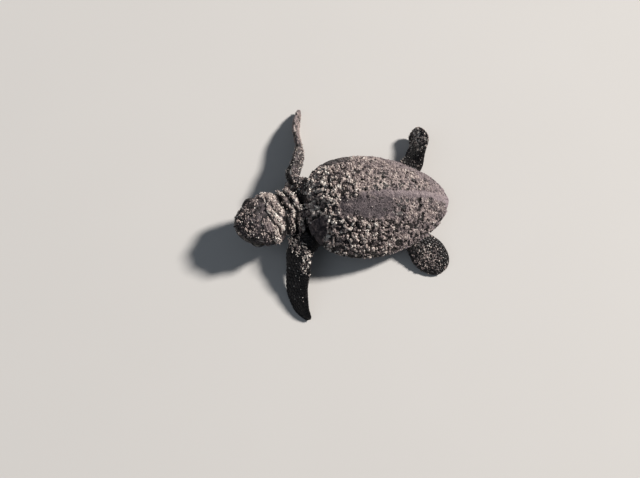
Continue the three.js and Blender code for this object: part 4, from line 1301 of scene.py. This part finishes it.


# The left front and right hind flippers carry no dust, so that they read black: painted shade.
SKIN_DUST = {
    "trunk": 0.12, "neck": 0.26, "tail": 0.4, "head": 0.36,
    "front_right": 0.26, "front_left": 0.0, "hind_right": 0.0, "hind_left": 0.04,
}


def painted_shade_side(points):
    """The front of the right front flipper near its root, left without dust or sand so that it reads dark:
    painted shade.
    """
    x, y = plan(points)
    return (1 - ramp(x, -26, -24.4)) * (1 - ramp(y, 15, 18))


def skin_dust(points, labels):
    dust = np.array([SKIN_DUST[label] for label in labels])
    # No dust on the front of the right front flipper near its root: painted shade.
    dust = np.where(labels == "front_right", dust * (1 - painted_shade_side(points)), dust)
    # Less dust in the creases, so that they read dark: painted shade.
    return dust + 0.1 * field(points, 2.2, 9) - 0.8 * fold_depth(points)


def make_skin():
    """One skin over the head, neck, trunk, flippers and tail."""
    flesh = Parts()
    flesh.add(*over_rings(trunk_rings()))
    flesh.add(*over_rings(head_rings()))
    for limb in (NECK, TAIL, *FLIPPERS.values(), shoulder_fold(1), shoulder_fold(-1)):
        points, faces = limb.closed()
        flesh.add(tucked(points), faces)
    skin = flesh.piece("skin", SKIN)
    remesh = skin.modifiers.new("join", "REMESH")
    remesh.mode = "VOXEL"
    remesh.voxel_size = SKIN_VOXEL * MM
    smooth = skin.modifiers.new("smooth", "CORRECTIVE_SMOOTH")
    smooth.use_only_smooth = True
    smooth.iterations = SKIN_SMOOTHING
    smooth.factor = 0.5
    evaluated = skin.evaluated_get(bpy.context.evaluated_depsgraph_get())
    mesh = bpy.data.meshes.new_from_object(evaluated)
    skin.modifiers.clear()
    skin.data = mesh
    finish_skin(skin)
    return skin


def mesh_arrays(piece):
    """The points and normals of a piece, in millimetres."""
    mesh = piece.data
    points = np.empty(3 * len(mesh.vertices))
    normals = np.empty(3 * len(mesh.vertices))
    mesh.vertices.foreach_get("co", points)
    mesh.vertices.foreach_get("normal", normals)
    return points.reshape(-1, 3) / MM, normals.reshape(-1, 3)


def finish_skin(skin):
    """Carves the face and wrinkles the skin, and notes how dusty each part of it is."""
    points, normals = mesh_arrays(skin)
    labels = region_of(points)
    wrinkle = 0.07 * field(points * np.array([2.2, 1, 1]), 1.1, 5) + 0.04 * field(points, 0.6, 6)
    sunk = np.where(labels == "head", head_carving(points), 0) + wrinkle + fold_depth(points)
    points = tucked(points - normals * sunk[:, None])
    skin.data.vertices.foreach_set("co", (points * MM).ravel())
    note(skin.data, "dust", skin_dust(points, labels))
    skin.data.polygons.foreach_set("use_smooth", np.full(len(skin.data.polygons), True))
    skin.data.update()


# ---------------------------------------------------------------- scales

PATCH = 0.003
HEX_NEIGHBOURS = ((0, 1), (1, 0.5), (1, -0.5), (0, -1), (-1, -0.5), (-1, 0.5))
SCALE_RINGS = ((0.97, -0.5), (0.88, 0.45), (0.62, 0.92))
SCALE_POINTS = 6 * len(SCALE_RINGS) + 1
SCALES_STOP = 0.985
MAP_EDGE = 0.004


def evenly(share):
    return TURN * share


def add_scales(parts, name, surface, rows, columns, start, stop, rise, seed, warp=evenly, band=(0, 1)):
    """Six-sided domed scales set close over a surface, from one share of its length to another.

    The band is the part of the baked map, from edge to edge, that the surface is opened out on.
    """
    draw = np.random.default_rng(seed)
    shift = draw.uniform(-0.16, 0.16, (rows + 2, columns, 2))
    row, column = np.indices((rows, columns))
    slide = 0.5 * (row % 2)
    centre = (np.stack([row + 0.5, column + slide], -1) + shift[1:-1])[:, :, None]
    offsets = []
    for step, across in HEX_NEIGHBOURS:
        beside = np.round(column + across + slide - 0.5 * ((row + step) % 2)).astype(int) % columns
        offsets.append(shift[row + 1 + step, beside] - shift[1:-1] + (step, across))
    offsets = np.stack(offsets, axis=2)
    corners = (offsets + np.roll(offsets, -1, axis=2)) / 3
    lattice = np.concatenate([*(centre + share * corners for share, _ in SCALE_RINGS), centre], axis=2)
    height = draw.uniform(0.75, 1.2, (rows, columns, 1)) * rise
    level = np.append(np.repeat([lift for _, lift in SCALE_RINGS], 6), 1.0)
    t = mix(start, stop, lattice[..., 0] / rows)
    points = surface(t, warp(lattice[..., 1] / columns), level * height).reshape(-1, 3)

    rings = ring_index(len(SCALE_RINGS), 6)
    tips = np.stack([rings[-1, :-1], rings[-1, 1:], np.full(6, SCALE_POINTS - 1)], -1)
    foot = np.array([[5, 4, 3, 2], [5, 2, 1, 0]])
    first = SCALE_POINTS * np.arange(rows * columns)[:, None, None]
    faces = [(block + first).reshape(-1, block.shape[1]) for block in (quads(rings), tips, foot)]
    tone = np.repeat(draw.uniform(0, 1, rows * columns), SCALE_POINTS)
    root = np.clip((centre / (rows, columns)) % 1, MAP_EDGE, 1 - MAP_EDGE)
    root = root * (band[1] - band[0], 1) + (band[0], 0)
    parts.places.append((root + 0.5 * PATCH * (lattice - centre) / 0.75).reshape(-1, 2))
    parts.add(points, faces, tone=tone, dust=skin_dust(points, np.full(len(points), name)))


def around_flipper(w):
    """Spreads shares round a flat limb evenly, with larger steps at its leading edge."""
    angle = np.linspace(0, TURN, 721)
    step = np.hypot(np.sin(angle), 0.28 * np.cos(angle))
    run = np.append(0, np.cumsum((step[1:] + step[:-1]) / 2))
    turns = np.floor(w)
    share = w - turns
    share = share + 0.45 * np.sin(TURN * share) / TURN
    return np.interp(share, run / run[-1], angle) + TURN * turns


def make_scales():
    pieces = []
    for number, (name, limb) in enumerate(FLIPPERS.items()):
        parts = Parts()
        rows = round(limb.length * (SCALES_STOP - limb.start) / 1.05)
        ends = (limb.start, SCALES_STOP)
        seed = 20 + number
        add_scales(parts, name, limb.surface, rows, 20, *ends, rise=0.15, seed=seed, warp=around_flipper)
        pieces.append(parts.piece("scales_" + name, SCALES))
    parts = Parts()
    add_scales(parts, "neck", creased(NECK.surface), 17, 46, 0.36, 0.93, rise=0.11, seed=31, band=(0, 0.33))
    add_scales(parts, "head", creased(head_surface), 17, 40, 0.03, 0.82, rise=0.1, seed=32, band=(0.34, 0.66))
    add_scales(parts, "tail", TAIL.surface, 12, 12, 0.45, 0.97, rise=0.08, seed=33, band=(0.67, 1))
    return [*pieces, parts.piece("scales_head_neck_tail", SCALES)]


def make_claws():
    """Curved claws on the leading edges of the flippers, their roots sunk in the flesh."""
    claws = Parts()
    share, turn = shares(12), circle(14)[..., None]
    for name, sizes in CLAWS.items():
        limb = FLIPPERS[name]
        for t, length, radius in sizes:
            centre, forward, chord, _ = (part[0] for part in limb.frame_at(np.array([t])))
            out = unit(chord + 0.8 * forward)
            root = centre + chord * float(limb.section(np.array([t]))[0][0]) - out * 0.45 * length
            bend = unit(forward - out * np.dot(out, forward))
            line = root + out * (length * share) + bend * (0.28 * length * share ** 2)
            ring = bend * np.cos(turn) + np.cross(out, bend) * 0.75 * np.sin(turn)
            girth = radius * (1 - share ** 1.5) + 0.03
            claws.add(*over_rings(line[:, None, :] + ring * girth[:, None]))
    return claws.piece("claws", CLAW_HORN)


# ---------------------------------------------------------------- sand

CRUST_ROOT = 0.25
SHELL_STEP = 0.22
FOLD_CELL = 1.25
PIT_CELL = 1.5
DROP_HEIGHT = 40
NOTHING_BELOW = -99.0
GRAIN_ROOM = 2.5
SIZE_SPREAD = (1.6, 3.0)
PALE_GRAINS = 0.035
CRUST_EDGE = -0.06
CLUMP_EDGE = 0.085
GOLDEN = (1 + 5 ** 0.5) / 2
GRAIN_POINTS = unit(np.array([
    np.roll((0, a, b * GOLDEN), -turn) for turn in range(3) for a in SIDES for b in SIDES
]))


def clumps_at(points, cell, gap, seed):
    """From 0 in the gaps between clumps of sand to 1 on their tops, and each clump's own draw."""
    shift = np.stack([field(points, 0.8 * cell, seed + axis) for axis in (20, 21, 22)], -1)
    inset, own = cells_near(points + 0.38 * cell * shift, cell, seed)
    return ramp(inset / cell, gap, gap + CLUMP_EDGE), own


def kept_clumps(share, own, cover):
    """Leaves out the clumps whose draw is over the cover."""
    return share * ramp(cover - own, 0, 0.12)


def keel_dust_and_highlight(x, y):
    """Where the finest dust lies smooth along the keel, as a pale band that is also a painted highlight on
    the ridge.
    """
    shift = uneven(x, y, 1.6, 57)
    return ramp(bell(y + 0.5 * shift, 1.25) * ramp(x + 3 * shift, -9, -1), 0.2, 0.7)


def strip_film(x, y):
    """The smooth dark film left of the keel."""
    shift = uneven(x, y, 2.2, 54) + uneven(x, y, 0.9, 60)
    across = ramp(-y + 0.5 * shift, 0.3, 1.8) * (1 - ramp(-y + shift, 5.6, 7.2))
    return across * ramp(x + 1.5 * shift, -13.5, -10) * (1 - ramp(x + 1.5 * shift, 2, 7))


def rim_film(x, y):
    """The fine pale dust on the right rear margins."""
    shift = uneven(x, y, 1.6, 62)
    along = ramp(x + 2 * shift, -2, 5) * ramp(y + 0.5 * (x - 10), 2, 6)
    return ramp(plan_rho(x, y) + 0.07 * shift, 0.8, 0.9) * along


def shell_cover(x, y):
    """How thickly sand lies on the shell."""
    cover = (1 - 0.97 * keel_dust_and_highlight(x, y)) * (1 - 0.8 * strip_film(x, y)) * (1 - 0.6 * rim_film(x, y))
    return cover * (1 - 0.94 * bare_shoulder(x, y)) * (1 - 0.9 * bare_margin(x, y))


def small_pits(points):
    """Round pits where a grain has dropped out of the layer."""
    inset, own = cells_near(points, PIT_CELL, 63)
    return ramp(inset / PIT_CELL, 0.19, 0.27) * (own < 0.62)


def sand_on_shell(x, y):
    """Clumps with dark gaps in front, and a finer, closer layer behind."""
    rear = rear_share(x, y)
    cover = shell_cover(x, y)
    spots = on_dome(x, y)
    nape = ramp(-x, 9, 17)
    coarse, own = clumps_at(spots, 1.3, 0.015, 41)
    fine, fine_own = clumps_at(spots, 1.1, -0.06, 42)
    share = mix(kept_clumps(coarse, own, 1.02 * cover), kept_clumps(fine, fine_own, 1.1 * cover), rear)
    solid = mix(0.28, mix(0.22, 0.36, ramp(y, -8, 4)), rear)
    share = share * ramp(field(spots, 0.8, 49) + solid, mix(-0.12, -0.05, rear), mix(0.12, 0.04, rear))
    height = mix(0.3 + 0.4 * own + 0.15 * nape, 0.12 + 0.16 * fine_own, rear)
    rear_tone = mix(0.1, 0.2, ramp(y, -8, 6)) + 0.66 * fine_own
    front_tone = 0.27 - 0.07 * ramp(y, 0, 6) + 0.85 * own + 0.3 * nape
    draw, fineness = mix(front_tone, rear_tone, rear), 0.28 * rear
    pale = ramp(x, -2, 9)
    for film, level, tone, dusty in (
        (strip_film(x, y), 0.04, -0.2, 0.4),
        (rim_film(x, y), 0.06, 0.42, 0.6),
        # Along the keel the sand is pale dust and, paler towards the rear, a painted highlight on the ridge.
        (keel_dust_and_highlight(x, y), 0.05, mix(0.1, 0.47, pale), mix(0.6, 0.85, pale)),
        (bare_shoulder(x, y), 0.02, -0.1, 0.1),
    ):
        share, height = mix(share, 1, film), mix(height, level, film)
        draw, fineness = mix(draw, tone, film), mix(fineness, dusty, film)
    return share * (1 - small_pits(spots) * rear * (1 - keel_dust_and_highlight(x, y))), height, draw, fineness


def sand_on_head(points, up):
    """Thick ridges at the back of the head, low clumps in front, little beneath."""
    x, y = plan(points)
    slant = 0.83 * x + 0.557 * y + 0.5 * field(points, 1.6, 55)
    start = mix(-31.6, -27.3, ramp(y, -0.8, 1.2))
    ridge = ramp(slant, start - 1.1, start + 0.7)
    pad = bell(np.hypot(x + 33.6, y + 5.8), 1.5)
    crack = bell(slant + 26.4, 0.3) * (1 - ramp(np.abs(y), 3, 4.5))
    # The sand is also cut away along the creases, so that they read dark: painted shade.
    crack = crack + bell(slant + 29.3, 0.3) * ramp(-y, 0.8, 2) + 1.4 * creases(x, y, 1.2)
    clump, own = clumps_at(points, 1.6, -0.02, 43)
    small, small_own = clumps_at(points, 0.9, 0.04, 44)
    local = into_head(points)
    clear = ramp(from_eye(local, 1), 1.9, 3.0) * ramp(from_eye(local, -1), 1.9, 3.0)
    cover = mix(0.55, 1.15, ridge) * (1 - 0.9 * smooth_crown(x, y)) * clear * mix(0.3, 1, ramp(up, -0.2, 0.6))
    share = mix(kept_clumps(small, small_own, cover), kept_clumps(clump, own, cover), ridge)
    share = mix(share, 1, pad) * (1 - np.clip(1.3 * crack, 0, 1))
    height = mix(0.15 + 0.45 * small_own, 0.5 + 0.4 * own, ridge)
    draw = mix(0.27 + 1.1 * small_own, 0.57 + 0.6 * own, ridge)
    return share, mix(height, 0.6, pad), mix(draw, 0.45, pad), 0.6 * pad


def sand_on_neck(points, up):
    """Clumps along the two folds, with gaps along the creases between them, widened so that the creases read
    dark: painted shade.
    """
    clump, own = clumps_at(points, FOLD_CELL, 0.0, 45)
    share = kept_clumps(clump, own, mix(0.2, 1.15, ramp(up, -0.2, 0.5)))
    share = share * (1 - np.clip(1.8 * creases(*plan(points), 1.2), 0, 1))
    return share, 0.22 + 0.4 * own, 0.52 + 0.8 * own, 0 * own


def sand_on_shoulder(points, up):
    """Clumps over the fold before the right front flipper, as on the shell beside it."""
    clump, own = clumps_at(points, FOLD_CELL, 0.0, 45)
    share = kept_clumps(clump, own, mix(0.6, 1.15, ramp(up, -0.2, 0.5)))
    return share, 0.25 + 0.4 * own, 0.5 + 0.85 * own, 0 * own


# The left front flipper has no sand but the band along its arm, so that it reads dark: painted shade.
FLIPPER_COVER = {"front_right": 0.66, "front_left": 0.0, "hind_right": 0.6, "hind_left": 0.24}
FLIPPER_CELL = {"front_right": 0.95, "front_left": 0.95, "hind_right": 0.8, "hind_left": 0.85}
FLIPPER_TONE = {"front_right": 0.22, "front_left": 0.62, "hind_right": 0.75, "hind_left": 0.24}
LOOSE_GRAINS = {
    "head": 0.08, "neck": 0.05,
    "front_right": 0.1, "front_left": 0.015, "hind_right": 0.03, "hind_left": 0.03,
}


def flipper_cover(name, points, up):
    """How thickly sand lies on a flipper, with the patches that stick to each; some of these patches are
    painted light and painted shade.
    """
    x, y = plan(points)
    cover = FLIPPER_COVER[name] + 0 * x
    if name == "front_right":
        # A bare patch on the upper arm, and no sand on the front near the root, which is painted shade.
        cover = cover * (1 - 0.95 * bell(np.hypot(x + 23.4, y - 12.8), 1.9)) * (1 - 0.9 * painted_shade_side(points))
    elif name == "front_left":
        # A band of sand along the arm, where light falls on it, is painted light; the rest of this flipper
        # stays bare as painted shade.
        bend = (-22.6, -14.7)
        near = np.minimum(from_line(x, y, (-27.8, -8.8), bend), from_line(x, y, bend, (-23.8, -18)))
        cover = cover + 1.3 * bell(near, 1.9)
    elif name == "hind_right":
        # More sand on the rear side, which faces the light, is painted light; less near the root, which lies
        # in shade, is painted shade.
        cover = (1.15 * cover + 0.7 * ramp(x, 14, 16.4)) * mix(0.2, 1, ramp(y, 17.5, 20.5))
    else:
        cover = cover + bell(np.hypot(x - 14.6, y + 17.4), 3.3)
    return cover * mix(0.2, 1, ramp(up, -0.3, 0.4))


def sand_on_flipper(name):
    def sand(points, up):
        clump, own = clumps_at(points, FLIPPER_CELL[name], 0.03, 46)
        cover = flipper_cover(name, points, up)
        share = kept_clumps(clump, own, cover)
        tone = FLIPPER_TONE[name] + 0.75 * own / np.clip(cover, 0.3, 1)
        outer = ramp(points[..., 1], 21, 26) * (name == "front_right")
        solid = ramp(field(points, 1.0, 59) + 0.3, -0.05, 0.05)
        height = mix(0.1 + 0.25 * own, 0.14, outer)
        return mix(share, solid, outer), height, mix(tone, 0.7, outer), 0.5 * outer
    return sand


SAND_ON = {"head": sand_on_head, "neck": sand_on_neck, **{name: sand_on_flipper(name) for name in FLIPPERS}}


def speckled(points, tone, fine):
    """The tone of a clump, with lighter and darker spots in it, fewer in fine sand."""
    return tone + mix(0.62, 0.3, fine) * field(points, 0.62, 56)


def crust_lift(points, share, height):
    """How far the top of packed sand stands over what it lies on; below 0 where there is none."""
    grainy = np.minimum(height, 0.25) * (0.4 * field(points, 0.5, 47) + 0.35 * field(points, 0.27, 48))
    return share * (height + CRUST_ROOT + grainy) - CRUST_ROOT


def lay_crust(parts, ground, away, sand):
    share, height, draw, fine = sand
    lift = crust_lift(ground, share, height)
    draw = speckled(ground, draw, fine)
    parts.lay(ground + away * lift[..., None], away, lift > CRUST_EDGE, draw=draw, fine=fine)


def crust_over(parts, surface, sand, lengthwise, around, start=0.03, stop=0.97):
    """Packed sand over a surface that is given by a share of its length and an angle."""
    t, angle = np.meshgrid(np.linspace(start, stop, lengthwise), np.linspace(0, TURN, around), indexing="ij")
    ground = surface(t, angle)
    away = unit(surface(t, angle, 0.4) - ground)
    lay_crust(parts, ground, away, sand(ground, away[..., 2]))


def dome_slope(x, y):
    """The direction straight out of the dome, no flatter than it can stand at the rim."""
    step = 0.3
    fall_x = carapace_top(x - step, y) - carapace_top(x + step, y)
    fall_y = carapace_top(x, y - step) - carapace_top(x, y + step)
    slope = np.stack([fall_x, fall_y], -1) / (2 * step)
    steep = np.linalg.norm(slope, axis=-1, keepdims=True)
    slope = slope * np.minimum(1, 1.2 / np.maximum(steep, 1e-6))
    return unit(xyz(*np.moveaxis(slope, -1, 0), 1))


def tree_of(pieces):
    """One search tree over several pieces, in millimetres."""
    points, faces, first = [], [], 0
    for piece in pieces:
        spots, _ = mesh_arrays(piece)
        points += [Vector(spot) for spot in spots]
        faces += [[first + corner for corner in face.vertices] for face in piece.data.polygons]
        first += len(spots)
    return BVHTree.FromPolygons(points, faces)


def drop(tree, x, y):
    """The height of the first surface under each spot, or far below where there is none."""
    height = np.full(x.size, NOTHING_BELOW)
    for index, (a, b) in enumerate(zip(x.ravel(), y.ravel())):
        hit = tree.ray_cast(Vector((a, b, DROP_HEIGHT)), Vector((0, 0, -1)))[0]
        if hit is not None:
            height[index] = hit.z
    return height.reshape(x.shape)


def bridged(height, reach=2):
    """Heights of a grid, with what is narrower than about twice the reach filled level."""
    for pick in (np.max, np.min):
        spread = np.pad(height, reach, mode="edge")
        windows = np.lib.stride_tricks.sliding_window_view(spread, (2 * reach + 1, 2 * reach + 1))
        height = pick(windows, axis=(-2, -1))
    return height


def make_crusts(shell_tree):
    """Packed sand on the shell, on the head and neck, and on the flippers."""
    room = 0.6
    across = np.arange(-HALF_WIDTH - room, HALF_WIDTH + room, SHELL_STEP)
    along = np.arange(-SHELL_LENGTH / 2 - room, SHELL_LENGTH / 2 + 1 + room, SHELL_STEP)
    x, y = np.meshgrid(along, across, indexing="ij")
    height = drop(shell_tree, x, y)
    inside = (plan_rho(x, y) < 0.985) & (height > 0)
    share, tall, draw, fine = sand_on_shell(x, y)
    ground = xyz(x, y, bridged(np.where(inside, height, carapace_top(x, y))))
    crusts = {"shell": Parts(), "head": Parts(), "flippers": Parts()}
    lay_crust(crusts["shell"], ground, dome_slope(x, y), (np.where(inside, share, 0), tall, draw, fine))
    crust_over(crusts["head"], creased(head_surface), sand_on_head, 110, 230)
    crust_over(crusts["head"], creased(NECK.surface), sand_on_neck, 90, 180, start=0.38, stop=0.86)
    crust_over(crusts["head"], shoulder_fold(1).surface, sand_on_shoulder, 60, 70, start=0.1)
    for name, limb in FLIPPERS.items():
        crust_over(crusts["flippers"], limb.surface, SAND_ON[name], 130, 96, start=0.22)
    return [crust.piece("packed_sand_" + name, PACKED_SAND) for name, crust in crusts.items()]


def grain_faces():
    """The twenty faces between the twelve corners of a grain, all turned out."""
    faces = np.array(list(itertools.combinations(range(len(GRAIN_POINTS)), 3)))
    corners = GRAIN_POINTS[faces]
    faces = faces[np.linalg.norm(corners - np.roll(corners, 1, axis=1), axis=-1).max(axis=1) < 1.1]
    inward = np.linalg.det(GRAIN_POINTS[faces]) < 0
    faces[inward] = faces[inward, ::-1]
    return faces


GRAIN_FACES = grain_faces()


def random_turns(count, draw):
    """Random rotation matrices."""
    w, *axis = unit(draw.normal(size=(count, 4))).T
    across = np.cross(np.eye(3), np.transpose(axis)[:, None])
    return np.eye(3) + 2 * w[:, None, None] * across + 2 * across @ across


def make_grains(name, spots, sizes, tone, fine, unwrapped, seed):
    """Joins many grains in one piece; each is a small patch at its root's place on the unwrapped skin."""
    draw = np.random.default_rng(seed)
    count, corners = len(spots), len(GRAIN_POINTS)
    jitter = draw.uniform(0.72, 1.18, (count, corners, 1))
    squash = draw.uniform(0.68, 1.15, (count, 1, 3))
    bodies = GRAIN_POINTS * jitter * squash * (0.5 * sizes)[:, None, None] @ random_turns(count, draw)
    faces = (GRAIN_FACES + corners * np.arange(count)[:, None, None]).reshape(-1, 3)
    own = 0.35 * draw.beta(1.3, 1.5, count) + 0.65 * speckled(spots, tone, fine)
    own = np.where(draw.uniform(0, 1, count) < PALE_GRAINS, 0.96, own)
    points = (bodies + spots[:, None]).reshape(-1, 3)
    flat = 0.5 * PATCH * GRAIN_POINTS[:, :2]
    grains = Parts()
    grains.places.append((np.clip(unwrapped, MAP_EDGE, 1 - MAP_EDGE)[:, None] + flat).reshape(-1, 2))
    grains.add(points, [faces], draw=np.repeat(own, corners), fine=np.repeat(fine, corners))
    return grains.piece(name, LOOSE_SAND, False)


def shell_unwrap(x, y):
    """The shell opened out flat from the middle of its dome."""
    theta = np.arctan2(y, x - WIDEST_X)
    reach = 0.47 * np.minimum(plan_rho(x, y) / 1.06, 1)
    return np.stack([0.5 + reach * np.cos(theta), 0.5 + reach * np.sin(theta)], -1)


def grains_on_shell(name, tree, count, large, small, seed):
    """Grains on and between the clumps of the shell."""
    draw = np.random.default_rng(seed)
    x = draw.uniform(-SHELL_LENGTH / 2 - 1, SHELL_LENGTH / 2 + 2, count)
    y = draw.uniform(-HALF_WIDTH - 1, HALF_WIDTH + 1, count)
    share, _, tone, fine = sand_on_shell(x, y)
    away = dome_slope(x, y)
    wanted = shell_cover(x, y) * mix(0.07 + 0.12 * fine, 1, share ** 3) / away[:, 2] / 1.8
    keep = np.flatnonzero(draw.uniform(0, 1, count) < wanted)
    z = drop(tree, x[keep], y[keep])
    keep, z = keep[z > 0], z[z > 0]
    x, y, away, tone, fine = (values[keep] for values in (x, y, away, tone, fine))
    sizes = mix(small, large, draw.beta(*SIZE_SPREAD, len(x))) * mix(1, 0.7, fine)
    spots = xyz(x, y, z) + away * (draw.uniform(0.0, 0.3, len(x)) * sizes)[:, None]
    return make_grains(name, spots, sizes, tone, fine, shell_unwrap(x, y), seed)


def grains_on_skin(name, skin, shell_tree, wanted_labels, density, large, small, seed):
    """Grains over the open skin of some regions; density is grains to the square millimetre."""
    draw = np.random.default_rng(seed)
    points, _ = mesh_arrays(skin)
    skin.data.calc_loop_triangles()
    corners = np.array([triangle.vertices[:] for triangle in skin.data.loop_triangles])
    labels = region_of(points[corners].mean(axis=1))
    wanted = np.isin(labels, wanted_labels)
    labels = labels[wanted]
    a, b, c = np.moveaxis(points[corners[wanted]], 1, 0)
    normals = np.cross(b - a, c - a)
    area = 0.5 * np.linalg.norm(normals, axis=1)
    chosen = draw.choice(len(area), int(area.sum() * density), p=area / area.sum())
    r, s = draw.uniform(0, 1, (2, len(chosen), 1))
    r, s = np.where(r + s > 1, 1 - r, r), np.where(r + s > 1, 1 - s, s)
    spots = a[chosen] + r * (b - a)[chosen] + s * (c - a)[chosen]
    facing, labels = unit(normals[chosen]), labels[chosen]
    share, height, tone, fine = np.zeros((4, len(spots)))
    for label in np.unique(labels):
        mask = labels == label
        share[mask], height[mask], tone[mask], fine[mask] = SAND_ON[label](spots[mask], facing[mask][:, 2])
    loose = np.array([LOOSE_GRAINS[label] for label in labels])
    wanted = mix(loose * ramp(facing[:, 2], -0.5, 0.5), 1, share ** 3)
    keep = draw.uniform(0, 1, len(spots)) < wanted
    lift = np.maximum(crust_lift(spots, share, height), 0)
    for index in np.flatnonzero(keep):
        start = Vector(spots[index] + 0.05 * facing[index])
        keep[index] = shell_tree.ray_cast(start, Vector(facing[index]), GRAIN_ROOM)[0] is None
    spots, facing, labels = spots[keep], facing[keep], labels[keep]
    lift, tone, fine = lift[keep], tone[keep], fine[keep]
    sizes = mix(small, large, draw.beta(*SIZE_SPREAD, len(spots))) * mix(1, 0.75, fine)
    unwrapped = skin_unwrap(spots, labels, wanted_labels)
    spots = spots + facing * (lift + 0.1 + draw.uniform(0, 0.3, len(spots)) * sizes)[:, None]
    return make_grains(name, spots, sizes, tone, fine, unwrapped, seed)


def skin_unwrap(spots, labels, names):
    """The skin of each limb, opened out along its path, in its own band of the map."""
    result = np.zeros((len(spots), 2))
    for band, name in enumerate(names):
        mask = labels == name
        if name == "head":
            local = into_head(spots[mask])
            angle = (np.arctan2(local[:, 1], local[:, 2]) / TURN + 0.5) % 1
            opened = np.stack([local[:, 0] / HEAD_LENGTH, angle], -1)
        else:
            limb = NECK if name == "neck" else FLIPPERS[name]
            opened = np.stack(limb.unwrapped(spots[mask]), -1)
        opened[:, 0] = (band + np.clip(opened[:, 0], 0.01, 0.99)) / len(names)
        result[mask] = opened
    return result


def make_sand(shell, skin):
    """Packed sand, with coarse and fine grains on it and between its clumps."""
    shell_tree = tree_of(shell)
    crusts = make_crusts(shell_tree)
    sandy_tree = tree_of([*shell, crusts[0]])
    on_shell = [
        grains_on_shell("sand_shell_coarse", sandy_tree, count=9000, large=0.8, small=0.36, seed=61),
        grains_on_shell("sand_shell_medium", sandy_tree, count=14000, large=0.5, small=0.26, seed=62),
        grains_on_shell("sand_shell_fine", sandy_tree, count=16000, large=0.32, small=0.18, seed=63),
    ]
    head = ("sand_head", skin, shell_tree, ["head", "neck"])
    limbs = ("sand_flippers", skin, shell_tree, list(FLIPPERS))
    on_head = grains_on_skin(*head, density=7, large=0.6, small=0.24, seed=71)
    on_limbs = grains_on_skin(*limbs, density=9, large=0.5, small=0.22, seed=72)
    return [*crusts, *on_shell, on_head, on_limbs]


# ---------------------------------------------------------------- assembly


def dress(piece, slot_name, *nodes):
    """Attaches a piece to the root body and hides the nodes of the solids it replaces; slot_name is not used.
    """
    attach(piece, "root")
    if nodes:
        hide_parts(*nodes)


shell_pieces = make_carapace()
dress(shell_pieces[0], "shell", "carapace")
for plates in shell_pieces[1:]:
    dress(plates, "shell")

belly_pieces = make_plastron()
dress(belly_pieces[0], "belly", "plastron")
dress(belly_pieces[1], "belly")

skin = make_skin()
dress(skin, "skin", "torso", "neck", "head", "lower_jaw", "tail", "front_flipper_left", "front_flipper_right",
      "hind_flipper_left", "hind_flipper_right")

shields = make_shields()
lids = Parts()
for lid_side in SIDES:
    add_lids(lids, lid_side)
for piece in [shields, lids.piece("eyelids", SCALES), *make_beak(), *make_scales(), make_claws()]:
    dress(piece, "skin")
dress(make_eye("eyeball_left", 1), "eye", "eye_left")
dress(make_eye("eyeball_right", -1), "eye", "eye_right")

for sand_piece in make_sand(shell_pieces, skin):
    dress(sand_piece, "shell" if "shell" in sand_piece.name else "skin")

# ---------------------------------------------------------------- floor, light and camera

# The floor's half width and the distances and sizes of the lights are metres.
CAMERA_AZIMUTH = math.radians(-6)
CAMERA_ELEVATION = math.radians(75)
CAMERA_DISTANCE = 242.9
CAMERA_AIM = Vector((-18.42, -7.14, 0)) * MM
CAMERA_VIEW = math.radians(45)
SUN_AZIMUTH = math.radians(19)
SUN_ELEVATION = math.radians(36)
SUN_COLOUR = (1.0, 0.965, 0.93)
FILL_AZIMUTH = SUN_AZIMUTH + math.pi
FILL_ELEVATION = math.radians(50)
FILL_COLOUR = (0.76, 0.87, 1.0)
FLOOR_HALF = 2.5


def direction(azimuth, elevation):
    """The direction at an azimuth, measured from +X towards +Y, and an elevation."""
    level = math.cos(elevation)
    return Vector((math.cos(azimuth) * level, math.sin(azimuth) * level, math.sin(elevation)))


def make_floor():
    mesh = bpy.data.meshes.new("floor")
    corners = [(x * FLOOR_HALF, y * FLOOR_HALF, 0) for x, y in ((-1, -1), (1, -1), (1, 1), (-1, 1))]
    mesh.from_pydata(corners, [], [(0, 1, 2, 3)])
    mesh.materials.append(floor_finish())
    floor = placed("floor", mesh)


def area_light(name, azimuth, elevation, distance, size, power, colour):
    """A soft light that looks at the turtle."""
    data = bpy.data.lights.new(name, "AREA")
    data.shape = "DISK"
    data.size = size
    data.energy = power
    data.color = colour
    away = direction(azimuth, elevation)
    light = placed(name, data)
    light.location = away * distance
    light.rotation_mode = "QUATERNION"
    light.rotation_quaternion = away.to_track_quat("Z", "Y")


def make_camera():
    data = bpy.data.cameras.new("camera")
    data.sensor_fit = "HORIZONTAL"
    data.angle = CAMERA_VIEW
    data.clip_start = 0.01
    data.clip_end = 10
    back = direction(CAMERA_AZIMUTH - math.pi / 2, CAMERA_ELEVATION)
    right = direction(CAMERA_AZIMUTH, 0)
    turn = Matrix((right, back.cross(right), back)).transposed()
    camera = placed("camera", data)
    camera.matrix_world = Matrix.Translation(CAMERA_AIM + back * CAMERA_DISTANCE * MM) @ turn.to_4x4()
    bpy.context.scene.camera = camera


make_floor()
area_light("key", SUN_AZIMUTH, SUN_ELEVATION, distance=3.2, size=0.48, power=190, colour=SUN_COLOUR)
area_light("fill", FILL_AZIMUTH, FILL_ELEVATION, distance=1.6, size=1.4, power=2.2, colour=FILL_COLOUR)
world = bpy.data.worlds.new("studio")
world.use_nodes = True
world.node_tree.nodes["Background"].inputs["Color"].default_value = (0.74, 0.85, 1.0, 1)
world.node_tree.nodes["Background"].inputs["Strength"].default_value = 0.12
bpy.context.scene.view_settings.view_transform = "Standard"
bpy.context.scene.world = world
make_camera()
